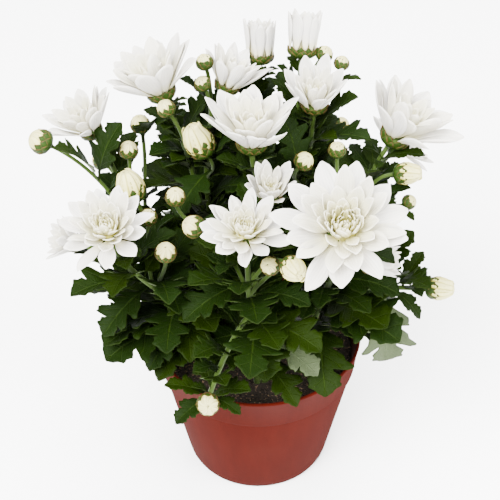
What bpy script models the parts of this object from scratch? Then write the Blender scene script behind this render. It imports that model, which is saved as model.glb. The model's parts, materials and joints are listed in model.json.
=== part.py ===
"""A pot chrysanthemum: five leafy cuttings with white double blooms and buds, in a 12 cm nursery pot.

Sizes are in metres and +Z is up. The origin is the middle of the pot's foot, on the surface that it
stands on, and the plant's fullest side faces -Y. Run it with: blender --background --python part.py
"""

import math
import random
from collections import namedtuple

import bmesh
import bpy
from mathutils import Matrix, Quaternion, Vector
from mathutils.bvhtree import BVHTree

# The pot
POT_HEIGHT = 0.092
RIM_RADIUS = 0.060
COLLAR_HEIGHT = 0.0205
COLLAR_FOOT_RADIUS = 0.0574
WALL_TOP_RADIUS = 0.0564
WALL_FOOT_RADIUS = 0.0438
CORNER_HEIGHT = 0.0060
FOOT_RADIUS = 0.0395
WALL = 0.0012
FLOOR = 0.0020
POT_STEPS = 20
SLOT_BEARINGS = (217, 337, 97)
SLOT_SIZE = (0.0060, 0.0110, 0.0050)

# The soil
SOIL_LEVEL = 0.079
SOIL_STEPS = 20
CRUMB = 0.0014
GAP = 0.0003

# The stems
ROOTED_AT = 0.045
MAIN_RADIUS = 0.0023
SHOOT_RADIUS = 0.0014
STALK_RADIUS = 0.0010

# The blades. A petal's widest place and its curl are shares of its length, and its tip of its width.
LEAF_THICKNESS = 0.0007
TEST_THICKNESS = 0.0015
PETAL_THICKNESS = 0.0007
PETAL_WIDEST = 0.58
PETAL_TIP = 0.44
SHORT_PETAL = 0.60
PETAL_CURL = 0.06
PETAL_WAVE = 2.5

# What a union's leftovers are: points closer than this, and faces that bend by less than this.
SLIVER = 2e-5
FLAT = math.radians(0.6)

WHITE = (0.86, 0.85, 0.80)
LEAF_GREEN = (0.045, 0.110, 0.020)
TERRACOTTA = (0.34, 0.065, 0.035)
PEAT = (0.030, 0.020, 0.013)

# One cutting: where it leaves the soil, and its crown, from which its shoots spread.
Cutting = namedtuple("Cutting", "foot crown")
CUTTINGS = {
    "left": Cutting((-0.026, -0.008), (-0.046, -0.026, 0.136)),
    "front": Cutting((0.000, -0.028), (-0.004, -0.045, 0.146)),
    "right": Cutting((0.027, -0.008), (0.036, -0.024, 0.140)),
    "back_left": Cutting((-0.015, 0.020), (-0.026, 0.020, 0.142)),
    "back_right": Cutting((0.015, 0.020), (0.020, 0.022, 0.145)),
}

# One flower head, named for its cutting: its kind, the middle of its calyx's top, the way it faces, its
# span, and what it branches from: None for the crown, or (an earlier head, how far up that head's shoot).
Head = namedtuple("Head", "name kind place facing span branch")
HEADS = (
    Head("left_bloom_1", "bowl", (-0.088, 0.020, 0.217), (-0.42, -0.03, 0.90), 0.037, None),
    Head("left_bloom_2", "open", (-0.071, -0.060, 0.211), (-0.12, -0.28, 0.95), 0.046, None),
    Head("left_bloom_3", "cup", (-0.094, -0.030, 0.181), (-0.86, -0.20, 0.48), 0.020, None),
    Head("left_bud_1", "egg", (-0.064, -0.010, 0.197), (-0.34, 0.17, 0.92), 0.0145,
         ("left_bloom_1", 0.30)),
    Head("left_bud_2", "bud", (-0.110, 0.000, 0.223), (-0.80, -0.10, 0.56), 0.0125,
         ("left_bloom_1", 0.40)),
    Head("left_bud_3", "bud", (-0.062, 0.022, 0.219), (-0.10, -0.11, 0.98), 0.0100,
         ("left_bloom_1", 0.30)),
    Head("left_bud_4", "bud", (-0.067, 0.005, 0.214), (0.02, -0.10, 0.99), 0.0095,
         ("left_bloom_1", 0.45)),
    Head("left_bud_5", "bud", (-0.055, -0.032, 0.199), (0.07, -0.55, 0.83), 0.0085,
         ("left_bloom_2", 0.30)),
    Head("left_bud_6", "bud", (-0.045, -0.055, 0.195), (0.04, -0.34, 0.94), 0.0100,
         ("left_bloom_2", 0.20)),
    Head("left_bud_7", "bud", (-0.088, 0.048, 0.178), (-0.66, 0.42, 0.62), 0.0115,
         ("left_bloom_1", 0.20)),
    Head("back_left_bloom_1", "bowl", (-0.050, 0.022, 0.240), (-0.36, 0.08, 0.93), 0.046, None),
    Head("back_left_bloom_2", "cup", (-0.016, 0.026, 0.241), (0.40, 0.13, 0.90), 0.028, None),
    Head("back_left_bloom_3", "tube", (0.001, 0.047, 0.246), (0.00, 0.30, 0.95), 0.0175, None),
    Head("back_left_bud_1", "egg", (-0.028, 0.004, 0.216), (-0.48, 0.10, 0.87), 0.0155,
         ("back_left_bloom_2", 0.42)),
    Head("back_left_bud_2", "bud", (-0.046, 0.004, 0.240), (-0.46, -0.09, 0.88), 0.0090,
         ("back_left_bloom_1", 0.55)),
    Head("back_left_bud_3", "bud", (-0.027, 0.024, 0.255), (-0.20, -0.10, 0.97), 0.0085,
         ("back_left_bloom_2", 0.60)),
    Head("back_left_bud_4", "bud", (-0.028, 0.018, 0.246), (-0.30, -0.20, 0.93), 0.0080,
         ("back_left_bloom_2", 0.50)),
    Head("back_left_bloom_4", "open", (-0.036, 0.082, 0.176), (-0.30, 0.68, 0.66), 0.044, None),
    Head("front_bloom_1", "open", (-0.006, -0.061, 0.211), (-0.05, -0.22, 0.97), 0.043, None),
    Head("front_bloom_2", "cup", (0.006, -0.028, 0.210), (0.05, -0.24, 0.97), 0.023, None),
    Head("front_bud_1", "bud", (-0.031, -0.046, 0.204), (-0.74, -0.27, 0.62), 0.0110,
         ("front_bloom_1", 0.30)),
    Head("front_bud_2", "bud", (-0.041, -0.030, 0.210), (0.03, -0.28, 0.96), 0.0095,
         ("front_bloom_2", 0.30)),
    Head("front_bud_3", "bud", (0.006, -0.066, 0.196), (-0.32, -0.65, 0.69), 0.0090,
         ("front_bloom_1", 0.25)),
    Head("front_bud_4", "egg", (0.015, -0.072, 0.201), (0.47, -0.86, 0.20), 0.0115,
         ("front_bloom_1", 0.40)),
    Head("front_bud_5", "bud", (-0.026, -0.077, 0.111), (0.05, -0.82, 0.57), 0.0115, None),
    Head("back_right_bloom_1", "bowl", (-0.003, -0.010, 0.230), (0.00, -0.04, 1.00), 0.047, None),
    Head("back_right_bloom_2", "cup", (0.029, 0.014, 0.237), (0.03, -0.10, 0.99), 0.029, None),
    Head("back_right_bloom_3", "tube", (0.023, 0.036, 0.256), (0.07, 0.35, 0.93), 0.0180, None),
    Head("back_right_bud_1", "bud", (0.023, -0.012, 0.219), (0.41, -0.32, 0.85), 0.0095,
         ("back_right_bloom_2", 0.35)),
    Head("back_right_bud_2", "bud", (0.043, 0.030, 0.251), (0.20, -0.05, 0.98), 0.0075,
         ("back_right_bloom_3", 0.55)),
    Head("back_right_bloom_4", "open", (0.024, 0.086, 0.176), (0.15, 0.72, 0.66), 0.046, None),
    Head("back_right_bud_3", "bud", (0.048, 0.074, 0.184), (0.45, 0.55, 0.70), 0.0100,
         ("back_right_bloom_4", 0.50)),
    Head("back_right_bud_4", "bud", (0.034, 0.034, 0.254), (0.50, -0.10, 0.86), 0.0085,
         ("back_right_bloom_3", 0.70)),
    Head("right_bloom_1", "open", (0.039, -0.073, 0.223), (0.02, -0.50, 0.86), 0.061, None),
    Head("right_bloom_2", "bowl", (0.072, 0.015, 0.217), (0.48, 0.05, 0.88), 0.049, None),
    Head("right_bloom_3", "tube", (0.055, -0.045, 0.182), (0.96, -0.22, 0.12), 0.0150, None),
    Head("right_bud_1", "egg", (0.073, -0.007, 0.208), (0.95, -0.20, 0.22), 0.0115,
         ("right_bloom_2", 0.45)),
    Head("right_bud_2", "egg", (0.094, -0.022, 0.143), (0.94, -0.26, 0.22), 0.0125, None),
    Head("right_bud_3", "bud", (0.040, -0.008, 0.223), (-0.02, -0.10, 0.99), 0.0085,
         ("right_bloom_2", 0.30)),
    Head("right_bud_4", "bud", (0.079, -0.006, 0.189), (0.75, -0.20, 0.63), 0.0075,
         ("right_bud_1", 0.40)),
    Head("right_bloom_4", "open", (0.079, 0.058, 0.180), (0.66, 0.42, 0.62), 0.042, None),
)

# One ring of petals, inside the ring before it: its lift above the calyx's plane in degrees, how far out
# and up from the calyx's middle its petals root, and their length and width, as shares of half the span.
Ring = namedtuple("Ring", "lift root height length width")
# One kind of head: its calyx's sides, radius and depth, its core's sides, how far each other side of
# the core is drawn in, the core's outline above its petals as (radius, height), and its petals' rings.
Kind = namedtuple("Kind", "calyx_sides calyx depth sides ribs core rings")
KINDS = {
    "open": Kind(6, 0.28, 0.24, 8, 0.0, ((0.09, 0.20),), (
        Ring(18, 0.27, 0.00, 0.84, 0.40), Ring(34, 0.23, 0.05, 0.80, 0.36),
        Ring(54, 0.16, 0.12, 0.58, 0.29))),
    "bowl": Kind(6, 0.32, 0.28, 8, 0.0, ((0.09, 0.20),), (
        Ring(48, 0.27, 0.00, 1.32, 0.46), Ring(62, 0.22, 0.05, 1.24, 0.38),
        Ring(76, 0.15, 0.12, 0.58, 0.26))),
    "cup": Kind(6, 0.44, 0.36, 6, 0.0, ((0.10, 0.16),), (
        Ring(60, 0.36, 0.00, 1.62, 0.50), Ring(76, 0.24, 0.06, 1.50, 0.33))),
    "tube": Kind(6, 0.80, 0.55, 6, 0.0, ((0.26, 0.90), (0.16, 1.50)), (
        Ring(84, 0.76, 0.00, 2.20, 0.66), Ring(87, 0.54, 0.05, 2.10, 0.42))),
    "egg": Kind(6, 0.84, 0.60, 8, 0.09, ((0.74, 0.00), (1.00, 0.50), (0.80, 1.20), (0.28, 1.80)), ()),
    "bud": Kind(5, 0.96, 0.80, 8, 0.09, ((0.86, 0.00), (0.84, 0.45), (0.34, 0.95)), ()),
}

# A leaf's outline from the stem to its tip: how far along, its half width there and how far the edge
# sweeps forward, as shares of its length. Wide rows are lobes and narrow ones the bays between them.
THREE_LOBED = ((0.00, 0.000, 0.00), (0.20, 0.035, 0.00), (0.34, 0.270, 0.06), (0.50, 0.130, 0.05),
               (0.60, 0.330, 0.14), (0.76, 0.170, 0.05), (1.00, 0.000, 0.00))
TWO_LOBED = ((0.00, 0.000, 0.00), (0.40, 0.280, 0.08), (0.54, 0.140, 0.05), (0.66, 0.260, 0.12),
             (1.00, 0.000, 0.00))
PLAIN = ((0.00, 0.000, 0.00), (0.48, 0.240, 0.10), (0.70, 0.150, 0.04), (1.00, 0.000, 0.00))

# One leaf that is placed by hand: its cutting, where its petiole starts, its tip, its width as a
# share of the outline's, and its roll in degrees. It grows from the nearest point of its stems.
Leaf = namedtuple("Leaf", "cutting near tip width roll")
LEAVES = (
    Leaf("left", (-0.082, -0.012, 0.200), (-0.107, -0.012, 0.220), 1.05, 0),
    Leaf("left", (-0.076, 0.000, 0.204), (-0.071, 0.012, 0.227), 1.10, 0),
    Leaf("left", (-0.046, 0.006, 0.214), (-0.057, 0.012, 0.234), 0.95, 0),
    Leaf("left", (-0.044, -0.004, 0.211), (-0.066, 0.000, 0.222), 0.95, 0),
    Leaf("left", (-0.056, -0.045, 0.156), (-0.098, -0.036, 0.170), 1.10, 10),
    Leaf("left", (-0.053, -0.046, 0.158), (-0.027, -0.047, 0.168), 1.10, 0),
    Leaf("left", (-0.052, -0.040, 0.122), (-0.092, -0.022, 0.143), 1.30, 15),
    Leaf("left", (-0.052, -0.032, 0.109), (-0.082, -0.048, 0.116), 1.30, 0),
    Leaf("left", (-0.047, -0.038, 0.112), (-0.059, -0.050, 0.109), 0.95, 0),
    Leaf("left", (-0.057, -0.030, 0.149), (-0.089, -0.036, 0.134), 1.10, 0),
    Leaf("left", (-0.077, -0.020, 0.175), (-0.100, -0.010, 0.160), 1.00, 0),
    Leaf("left", (-0.046, -0.040, 0.138), (-0.022, -0.062, 0.150), 1.05, 0),
    Leaf("front", (-0.015, -0.048, 0.167), (-0.037, -0.068, 0.162), 1.05, 0),
    Leaf("front", (-0.001, -0.046, 0.165), (0.026, -0.062, 0.168), 1.10, 0),
    Leaf("front", (-0.012, -0.044, 0.131), (0.004, -0.078, 0.130), 1.35, 0),
    Leaf("front", (-0.014, -0.042, 0.120), (-0.028, -0.066, 0.124), 1.10, 0),
    Leaf("front", (0.015, -0.038, 0.124), (0.032, -0.060, 0.116), 1.05, 0),
    Leaf("front", (-0.028, -0.073, 0.113), (-0.048, -0.072, 0.121), 0.95, 0),
    Leaf("front", (-0.024, -0.072, 0.109), (-0.039, -0.087, 0.103), 1.15, 0),
    Leaf("front", (-0.023, -0.072, 0.112), (-0.004, -0.080, 0.125), 1.00, 0),
    Leaf("front", (-0.023, -0.074, 0.108), (-0.009, -0.080, 0.107), 0.95, 0),
    Leaf("front", (0.011, -0.052, 0.102), (0.021, -0.066, 0.099), 0.85, 0),
    Leaf("front", (-0.009, -0.050, 0.138), (-0.024, -0.050, 0.155), 0.95, 0),
    Leaf("right", (0.047, -0.034, 0.155), (0.074, -0.040, 0.156), 1.25, 0),
    Leaf("right", (0.024, -0.036, 0.125), (0.067, -0.052, 0.142), 1.20, 0),
    Leaf("right", (0.031, -0.046, 0.112), (0.036, -0.064, 0.103), 0.95, 0),
    Leaf("right", (0.065, -0.026, 0.125), (0.071, -0.034, 0.099), 1.00, 0),
    Leaf("right", (0.070, -0.028, 0.125), (0.088, -0.030, 0.128), 0.90, 0),
    Leaf("right", (0.082, -0.024, 0.143), (0.090, -0.022, 0.155), 0.85, 0),
    Leaf("right", (0.072, 0.004, 0.203), (0.087, 0.006, 0.211), 0.95, 0),
    Leaf("right", (0.063, -0.006, 0.193), (0.079, -0.008, 0.200), 0.95, 0),
    Leaf("right", (0.070, -0.006, 0.188), (0.085, -0.008, 0.184), 0.80, 0),
    Leaf("right", (0.060, -0.030, 0.152), (0.076, -0.034, 0.171), 1.00, 0),
    Leaf("right", (0.047, -0.012, 0.161), (0.067, -0.018, 0.173), 1.05, 0),
    Leaf("back_right", (0.031, 0.006, 0.213), (0.050, 0.014, 0.242), 1.10, 0),
    Leaf("back_right", (0.016, -0.004, 0.208), (0.013, 0.004, 0.236), 1.15, 0),
    Leaf("back_right", (0.031, 0.032, 0.247), (0.040, 0.034, 0.259), 0.90, 0),
    Leaf("back_right", (0.056, 0.022, 0.231), (0.053, 0.026, 0.245), 0.80, 0),
    Leaf("back_right", (0.043, 0.002, 0.207), (0.057, 0.002, 0.225), 1.00, 0),
    Leaf("back_right", (0.022, 0.020, 0.223), (0.011, 0.030, 0.252), 0.90, 0),
    Leaf("back_left", (-0.029, 0.016, 0.232), (-0.039, 0.020, 0.249), 1.00, 0),
    Leaf("back_left", (0.001, 0.034, 0.224), (0.005, 0.040, 0.246), 1.05, 0),
    Leaf("back_left", (-0.025, 0.010, 0.217), (-0.036, 0.014, 0.240), 1.00, 0),
    Leaf("back_left", (-0.023, -0.004, 0.189), (-0.042, -0.020, 0.191), 1.05, 0),
    Leaf("back_left", (-0.011, 0.004, 0.215), (-0.003, 0.000, 0.230), 1.00, 0),
)

# The leaves placed by rule: how far up a main stem or a shoot they grow, their length there, the
# angle from one to the next, and how far they rise above level.
GOLDEN_ANGLE = 137.5
MAIN_LEAVES = ((0.58, 0.044), (0.76, 0.048), (0.93, 0.044))
SHOOT_LEAVES = ((0.24, 0.040), (0.56, 0.026))
MAIN_RISE = 10
SHOOT_RISE = 32
SMALL_LEAF = 0.029
LARGE_LEAF = 0.045
LEAF_ARCH = 0.10
LEAF_FOLD = 0.22
SEED = 11

# The turns and lifts, in degrees, that a leaf tries until it is clear of its neighbours.
TRIES = ((0, 0), (14, 0), (-14, 0), (0, 14), (28, 0), (-28, 0), (14, 14), (-14, 14), (0, -14),
         (42, 0), (-42, 0), (28, 14), (-28, 14), (56, 8), (-56, 8), (72, 0), (-72, 0))


def clear_scene():
    for obj in list(bpy.data.objects):
        bpy.data.objects.remove(obj, do_unlink=True)


def make_material(name, colour, roughness):
    material = bpy.data.materials.new(name)
    material.use_nodes = True
    shader = material.node_tree.nodes["Principled BSDF"]
    shader.inputs["Base Color"].default_value = (*colour, 1)
    shader.inputs["Roughness"].default_value = roughness
    shader.inputs["Metallic"].default_value = 0
    return material


def add_object(name, mesh, collection):
    obj = bpy.data.objects.new(name, mesh)
    collection.objects.link(obj)
    return obj


def mesh_of(bm, name):
    mesh = bpy.data.meshes.new(name)
    bm.to_mesh(mesh)
    bm.free()
    return mesh


def bezier(start, leave, arrive, end, count):
    points = []
    for i in range(count + 1):
        t = i / count
        s = 1 - t
        points.append(start * s**3 + leave * (3 * s * s * t) + arrive * (3 * s * t * t) + end * t**3)
    return points


def point_along(points, share):
    """The point and the direction at this share of a polyline's steps."""
    place = share * (len(points) - 1)
    i = min(int(place), len(points) - 2)
    return points[i].lerp(points[i + 1], place - i), (points[i + 1] - points[i]).normalized()


def nearest_point(paths, target):
    samples = [point_along(path, i / 20)[0] for path in paths for i in range(2, 19)]
    return min(samples, key=lambda p: (p - target).length)


def frame_of(origin, z_axis, x_hint=Vector((0, 0, 1))):
    """A matrix with its Z along z_axis at origin."""
    z = z_axis.normalized()
    x = (x_hint - z * x_hint.dot(z))
    x = x.normalized() if x.length > 0.05 else z.orthogonal().normalized()
    y = z.cross(x)
    return Matrix.Translation(origin) @ Matrix((x, y, z)).transposed().to_4x4()


def tube(points, radius, sides_resolution):
    """A mesh tube along a polyline, with its caps welded."""
    curve = bpy.data.curves.new("tube", "CURVE")
    curve.dimensions = "3D"
    curve.bevel_depth = radius
    curve.bevel_resolution = sides_resolution
    curve.use_fill_caps = True
    spline = curve.splines.new("POLY")
    spline.points.add(len(points) - 1)
    for target, point in zip(spline.points, points):
        target.co = (*point, 1)
    guide = add_object("tube_guide", curve, bpy.context.scene.collection)
    graph = bpy.context.evaluated_depsgraph_get()
    mesh = bpy.data.meshes.new_from_object(guide.evaluated_get(graph))
    bpy.data.objects.remove(guide)
    bpy.data.curves.remove(curve)
    bm = bmesh.new()
    bm.from_mesh(mesh)
    bpy.data.meshes.remove(mesh)
    bmesh.ops.remove_doubles(bm, verts=bm.verts, dist=1e-6)
    bmesh.ops.triangulate(bm, faces=bm.faces)
    return bm


def blade(rows, thickness):
    """A thin closed blade from rows of points across it, where an end row may be one point."""
    bm = bmesh.new()
    count = len(rows[1])
    bmesh.ops.create_grid(bm, x_segments=count - 1, y_segments=len(rows) - 1, size=1)
    grid = sorted(bm.verts, key=lambda v: (round(v.co.y, 4), round(v.co.x, 4)))
    across = [grid[count * i : count * (i + 1)] for i in range(len(rows))]
    for verts, row in zip(across, rows):
        if len(row) == 1:
            bmesh.ops.pointmerge(bm, verts=verts, merge_co=row[0])
            continue
        for vert, point in zip(verts, row):
            vert.co = point
    bmesh.ops.triangulate(bm, faces=bm.faces)
    bmesh.ops.recalc_face_normals(bm, faces=bm.faces)
    bmesh.ops.solidify(bm, geom=bm.faces[:], thickness=thickness)
    bmesh.ops.recalc_face_normals(bm, faces=bm.faces)
    return bm


def stacked(rings, sides, ribs=0.0):
    """A closed solid of rings (radius, height, turn in sides) from the bottom up, and each ring's verts."""
    bm = bmesh.new()
    bmesh.ops.create_cone(bm, cap_ends=True, segments=sides, radius1=1, radius2=1, depth=1)
    lid = next(f for f in bm.faces if all(v.co.z > 0 for v in f.verts))
    low = [v for v in bm.verts if v not in set(lid.verts)]
    for _ in rings[2:]:
        bmesh.ops.inset_region(bm, faces=[lid], thickness=0.01)
    high = sorted(set(bm.verts) - set(low), key=lambda v: -math.hypot(v.co.x, v.co.y))
    levels = [low] + [high[sides * i : sides * (i + 1)] for i in range(len(rings) - 1)]
    for level, (radius, height, turn) in zip(levels, rings):
        level.sort(key=lambda v: math.atan2(v.co.y, v.co.x) % (2 * math.pi - 1e-4))
        for k, vert in enumerate(level):
            angle = 2 * math.pi * (k + turn) / sides
            drawn = radius * (1 - ribs * (k % 2))
            vert.co = (drawn * math.cos(angle), drawn * math.sin(angle), height)
    return bm, levels


def turned(profile, sides, ribs=0.0):
    """A closed solid turned from (radius, height) points, with every other side drawn in by ribs."""
    bm, _ = stacked([(radius, height, 0) for radius, height in profile], sides, ribs)
    bmesh.ops.triangulate(bm, faces=bm.faces)
    bmesh.ops.recalc_face_normals(bm, faces=bm.faces)
    return bm


def drawn_out(bm, face, centre, side, up, width, depth):
    """Extrudes this face, sets the new face's corners round a centre and returns the new face."""
    middle = face.calc_center_median()
    new = bmesh.ops.extrude_discrete_faces(bm, faces=[face])["faces"][0]
    for vert in new.verts:
        across = math.copysign(width / 2, (vert.co - middle).dot(side))
        through = math.copysign(depth / 2, (vert.co - middle).dot(up))
        vert.co = centre + side * across + up * through
    return new


def grow_petal(bm, face, ring, half_span, wave):
    """Draws one face of a core out into a petal that is widest past its middle and curls up a little."""
    start = face.calc_center_median()
    out = Vector((start.x, start.y, 0)).normalized()
    side = Vector((-out.y, out.x, 0))
    rise = math.radians(ring.lift + wave)
    reach = out * math.cos(rise) + Vector((0, 0, math.sin(rise)))
    up = reach.cross(side)
    length, width = ring.length * half_span, ring.width * half_span
    middle = start + reach * (PETAL_WIDEST * length)
    tip = start + reach * length + up * (PETAL_CURL * length)
    if ring.length > SHORT_PETAL:
        face = drawn_out(bm, face, middle, side, up, width, PETAL_THICKNESS)
        width *= PETAL_TIP
    drawn_out(bm, face, tip, side, up, width, PETAL_THICKNESS)


def cutting_of(head):
    return head.name.rsplit("_", 2)[0]


def head_frame(head):
    return frame_of(Vector(head.place), Vector(head.facing))


def calyx(head):
    """The green cup below a head, down to its stalk, with its bracts as a toothed rim."""
    kind, half = KINDS[head.kind], head.span / 2
    radius, depth = kind.calyx * half, kind.depth * half
    profile = [(STALK_RADIUS, -depth * 1.15), (radius, -GAP)]
    if head.kind != "bud":
        profile.insert(1, (radius * 0.80, -depth * 0.75))
    bm = turned(profile, kind.calyx_sides)
    bm.transform(head_frame(head))
    return bm


def flower(head):
    """A head's white part: a small core with rings of petals drawn out of it. A bud is its core alone."""
    kind, half = KINDS[head.kind], head.span / 2
    rings = []
    turn = 0
    for i, ring in enumerate(kind.rings):
        rise = math.radians(ring.lift)
        out, up = ring.root * half, ring.height * half
        turn = (i % 2) / 2
        rings.append((out, up, turn))
        rings.append((out - PETAL_THICKNESS * math.sin(rise), up + PETAL_THICKNESS * math.cos(rise), turn))
    rings += [(radius * half, height * half, turn) for radius, height in kind.core]
    bm, levels = stacked(rings, kind.sides, kind.ribs)
    for i, ring in enumerate(kind.rings):
        band = set(levels[2 * i] + levels[2 * i + 1])
        faces = [f for f in bm.faces if len(f.verts) == 4 and band.issuperset(f.verts)]
        for k, face in enumerate(faces):
            grow_petal(bm, face, ring, half, PETAL_WAVE if k % 2 else -PETAL_WAVE)
    bmesh.ops.triangulate(bm, faces=bm.faces)
    bmesh.ops.recalc_face_normals(bm, faces=bm.faces)
    bm.transform(head_frame(head))
    return bm


def stem_paths():
    """Each cutting's main stem, and each head's shoot or stalk, as polylines."""
    mains, shoots = {}, {}
    for name, cutting in CUTTINGS.items():
        foot, crown = Vector((*cutting.foot, ROOTED_AT)), Vector(cutting.crown)
        leave = foot + Vector((0, 0, 0.5 * (crown.z - foot.z)))
        arrive = crown.lerp(leave, 0.35) + (crown - foot) * 0.05
        mains[name] = bezier(foot, leave, arrive, crown, 4)
    for head in HEADS:
        kind = KINDS[head.kind]
        end = Vector(head.place) - Vector(head.facing).normalized() * (kind.depth * head.span / 2)
        if head.branch is None:
            start, along = point_along(mains[cutting_of(head)], 0.97)
        else:
            start, along = point_along(shoots[head.branch[0]], head.branch[1])
        stretch = (end - start).length
        leave = start + (along + (end - start).normalized()).normalized() * (0.35 * stretch)
        arrive = end - Vector(head.facing).normalized() * (0.35 * stretch)
        shoots[head.name] = bezier(start, leave, arrive, end, 4 if head.branch is None else 3)
    return mains, shoots


def leaf_rows(base, tip, width, roll, lobes, fold):
    """The rows of a leaf's blade: an arched midrib, with lobes folded up a little from it."""
    chord = tip - base
    length = chord.length
    along = chord / length
    side = along.cross(Vector((0, 0, 1)))
    side = side.normalized() if side.length > 0.1 else Vector((1, 0, 0))
    side.rotate(Quaternion(along, math.radians(roll)))
    face = side.cross(along)
    rows = []
    for share, half, sweep in lobes:
        middle = base + chord * share + face * (LEAF_ARCH * length * 4 * share * (1 - share))
        reach = half * width * length
        if half == 0:
            rows.append((middle,))
            continue
        lift = along * (sweep * length) + face * (fold * reach)
        rows.append((middle - side * reach + lift, middle, middle + side * reach + lift))
    return rows


def tried_tips(base, tip):
    """The tip, then the tip turned about the base and lifted, in the order of TRIES."""
    chord = tip - base
    level = Vector((-chord.y, chord.x, 0))
    level = level.normalized() if level.length > 1e-6 else Vector((1, 0, 0))
    for turn, lift in TRIES:
        arm = chord.copy()
        arm.rotate(Quaternion(level, math.radians(-lift)))
        arm.rotate(Quaternion((0, 0, 1), math.radians(turn)))
        yield base + arm


def planned_leaves(mains, shoots):
    """Every leaf as (cutting, base, tip, width, roll): those placed by hand, then those by rule."""
    planned = []
    for leaf in LEAVES:
        paths = [mains[leaf.cutting]] + [shoots[h.name] for h in HEADS if cutting_of(h) == leaf.cutting]
        base = nearest_point(paths, Vector(leaf.near))
        planned.append((leaf.cutting, base, Vector(leaf.tip), leaf.width, leaf.roll))
    chance = random.Random(SEED)
    for name, path in mains.items():
        outward = math.degrees(math.atan2(path[-1].y, path[-1].x))
        for k, (share, length) in enumerate(MAIN_LEAVES):
            base, _ = point_along(path, share)
            bearing = outward + (k - 1) * 0.5 * GOLDEN_ANGLE + chance.uniform(-15, 15)
            planned.append(leaf_by_rule(name, base, bearing, length, MAIN_RISE, chance))
    bearing = 0
    for head in HEADS:
        if head.branch is not None:
            continue
        for share, length in SHOOT_LEAVES:
            base, _ = point_along(shoots[head.name], share)
            bearing += GOLDEN_ANGLE
            planned.append(leaf_by_rule(cutting_of(head), base, bearing, length, SHOOT_RISE, chance))
    return planned


def leaf_by_rule(cutting, base, bearing, length, rise, chance):
    turn, lift = math.radians(bearing), math.radians(rise + chance.uniform(-12, 12))
    way = Vector((math.cos(turn) * math.cos(lift), math.sin(turn) * math.cos(lift), math.sin(lift)))
    reach = length * chance.uniform(0.88, 1.12)
    return cutting, base, base + way * reach, chance.uniform(0.9, 1.1), chance.uniform(-15, 15)


def outline_of(length):
    if length > LARGE_LEAF:
        return THREE_LOBED
    return TWO_LOBED if length > SMALL_LEAF else PLAIN


def grow_leaves(planned, solids):
    """Each leaf as (cutting, mesh): the first of its tries that crosses no other piece."""
    blocks = [(owner, BVHTree.FromBMesh(bm)) for owner, bm in solids]
    grown = []
    for cutting, base, tip, width, roll in planned:
        lobes = outline_of((tip - base).length)
        for place in tried_tips(base, tip):
            rows = leaf_rows(base, place, width, roll, lobes, LEAF_FOLD)
            if is_clear(rows, cutting, blocks):
                bm = blade(rows, LEAF_THICKNESS)
                blocks.append((cutting, BVHTree.FromBMesh(bm)))
                grown.append((cutting, bm))
                break
    return grown


def is_clear(rows, cutting, blocks):
    """Whether a leaf crosses no other cutting's pieces, and only its own stem at its petiole."""
    whole, free = blade(rows, TEST_THICKNESS), blade(rows[1:], TEST_THICKNESS)
    whole_tree, free_tree = BVHTree.FromBMesh(whole), BVHTree.FromBMesh(free)
    whole.free()
    free.free()
    for owner, tree in blocks:
        if (free_tree if owner == cutting else whole_tree).overlap(tree):
            return False
    lowest = min(point.z for row in rows[1:] for point in row)
    return lowest > SOIL_LEVEL + 0.003 and not touches_pot(rows)


def touches_pot(rows):
    """Whether any point of a leaf comes near the pot's rim."""
    for row in rows[1:]:
        for point in row:
            reach = math.hypot(point.x, point.y)
            if point.z < POT_HEIGHT + 0.002 and RIM_RADIUS - 0.006 < reach < RIM_RADIUS + 0.002:
                return True
    return False


def simplify(mesh):
    """Joins the small flat faces that a union leaves, and makes triangles of what remains."""
    bm = bmesh.new()
    bm.from_mesh(mesh)
    bmesh.ops.remove_doubles(bm, verts=bm.verts, dist=SLIVER)
    bmesh.ops.dissolve_limit(bm, angle_limit=FLAT, verts=bm.verts, edges=bm.edges)
    bmesh.ops.triangulate(bm, faces=bm.faces)
    bm.to_mesh(mesh)
    bm.free()


def fuse(name, meshes, material, collection):
    """One solid from overlapping ones, by a Boolean union of the first with a collection of the rest."""
    base = add_object(name, mesh_of(meshes[0], name), collection)
    rest = bpy.data.collections.new(name + "_pieces")
    bpy.context.scene.collection.children.link(rest)
    for bm in meshes[1:]:
        add_object(name + "_piece", mesh_of(bm, name), rest)
    union = base.modifiers.new("union", "BOOLEAN")
    union.operation = "UNION"
    union.operand_type = "COLLECTION"
    union.collection = rest
    union.solver = "MANIFOLD"
    graph = bpy.context.evaluated_depsgraph_get()
    fused = bpy.data.meshes.new_from_object(base.evaluated_get(graph))
    base.modifiers.clear()
    base.data = fused
    simplify(fused)
    for piece in list(rest.objects):
        bpy.data.objects.remove(piece)
    bpy.data.collections.remove(rest)
    base.data.materials.clear()
    base.data.materials.append(material)
    return base


def screw_object(name, profile, steps, material, collection):
    """A turned solid from a profile that runs down its outer side."""
    mesh = bpy.data.meshes.new(name)
    points = [(radius, 0, height) for radius, height in profile]
    mesh.from_pydata(points, [(i, i + 1) for i in range(len(points) - 1)], [])
    obj = add_object(name, mesh, collection)
    screw = obj.modifiers.new("turn", "SCREW")
    screw.steps = screw.render_steps = steps
    screw.use_merge_vertices = True
    screw.merge_threshold = 0.0001
    obj.data.materials.append(material)
    return obj


def pot_profile():
    collar_z = POT_HEIGHT - COLLAR_HEIGHT
    floor_z = FLOOR
    return (
        (0, floor_z),
        (FOOT_RADIUS - WALL, floor_z),
        (WALL_FOOT_RADIUS - WALL, CORNER_HEIGHT),
        (WALL_TOP_RADIUS - WALL, collar_z),
        (RIM_RADIUS - WALL, POT_HEIGHT),
        (RIM_RADIUS, POT_HEIGHT),
        (COLLAR_FOOT_RADIUS, collar_z),
        (WALL_TOP_RADIUS, collar_z - 0.0004),
        (WALL_FOOT_RADIUS, CORNER_HEIGHT),
        ((WALL_FOOT_RADIUS + FOOT_RADIUS) / 2 + 0.0008, 0.0016),
        (FOOT_RADIUS, 0),
        (0, 0),
    )


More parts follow.
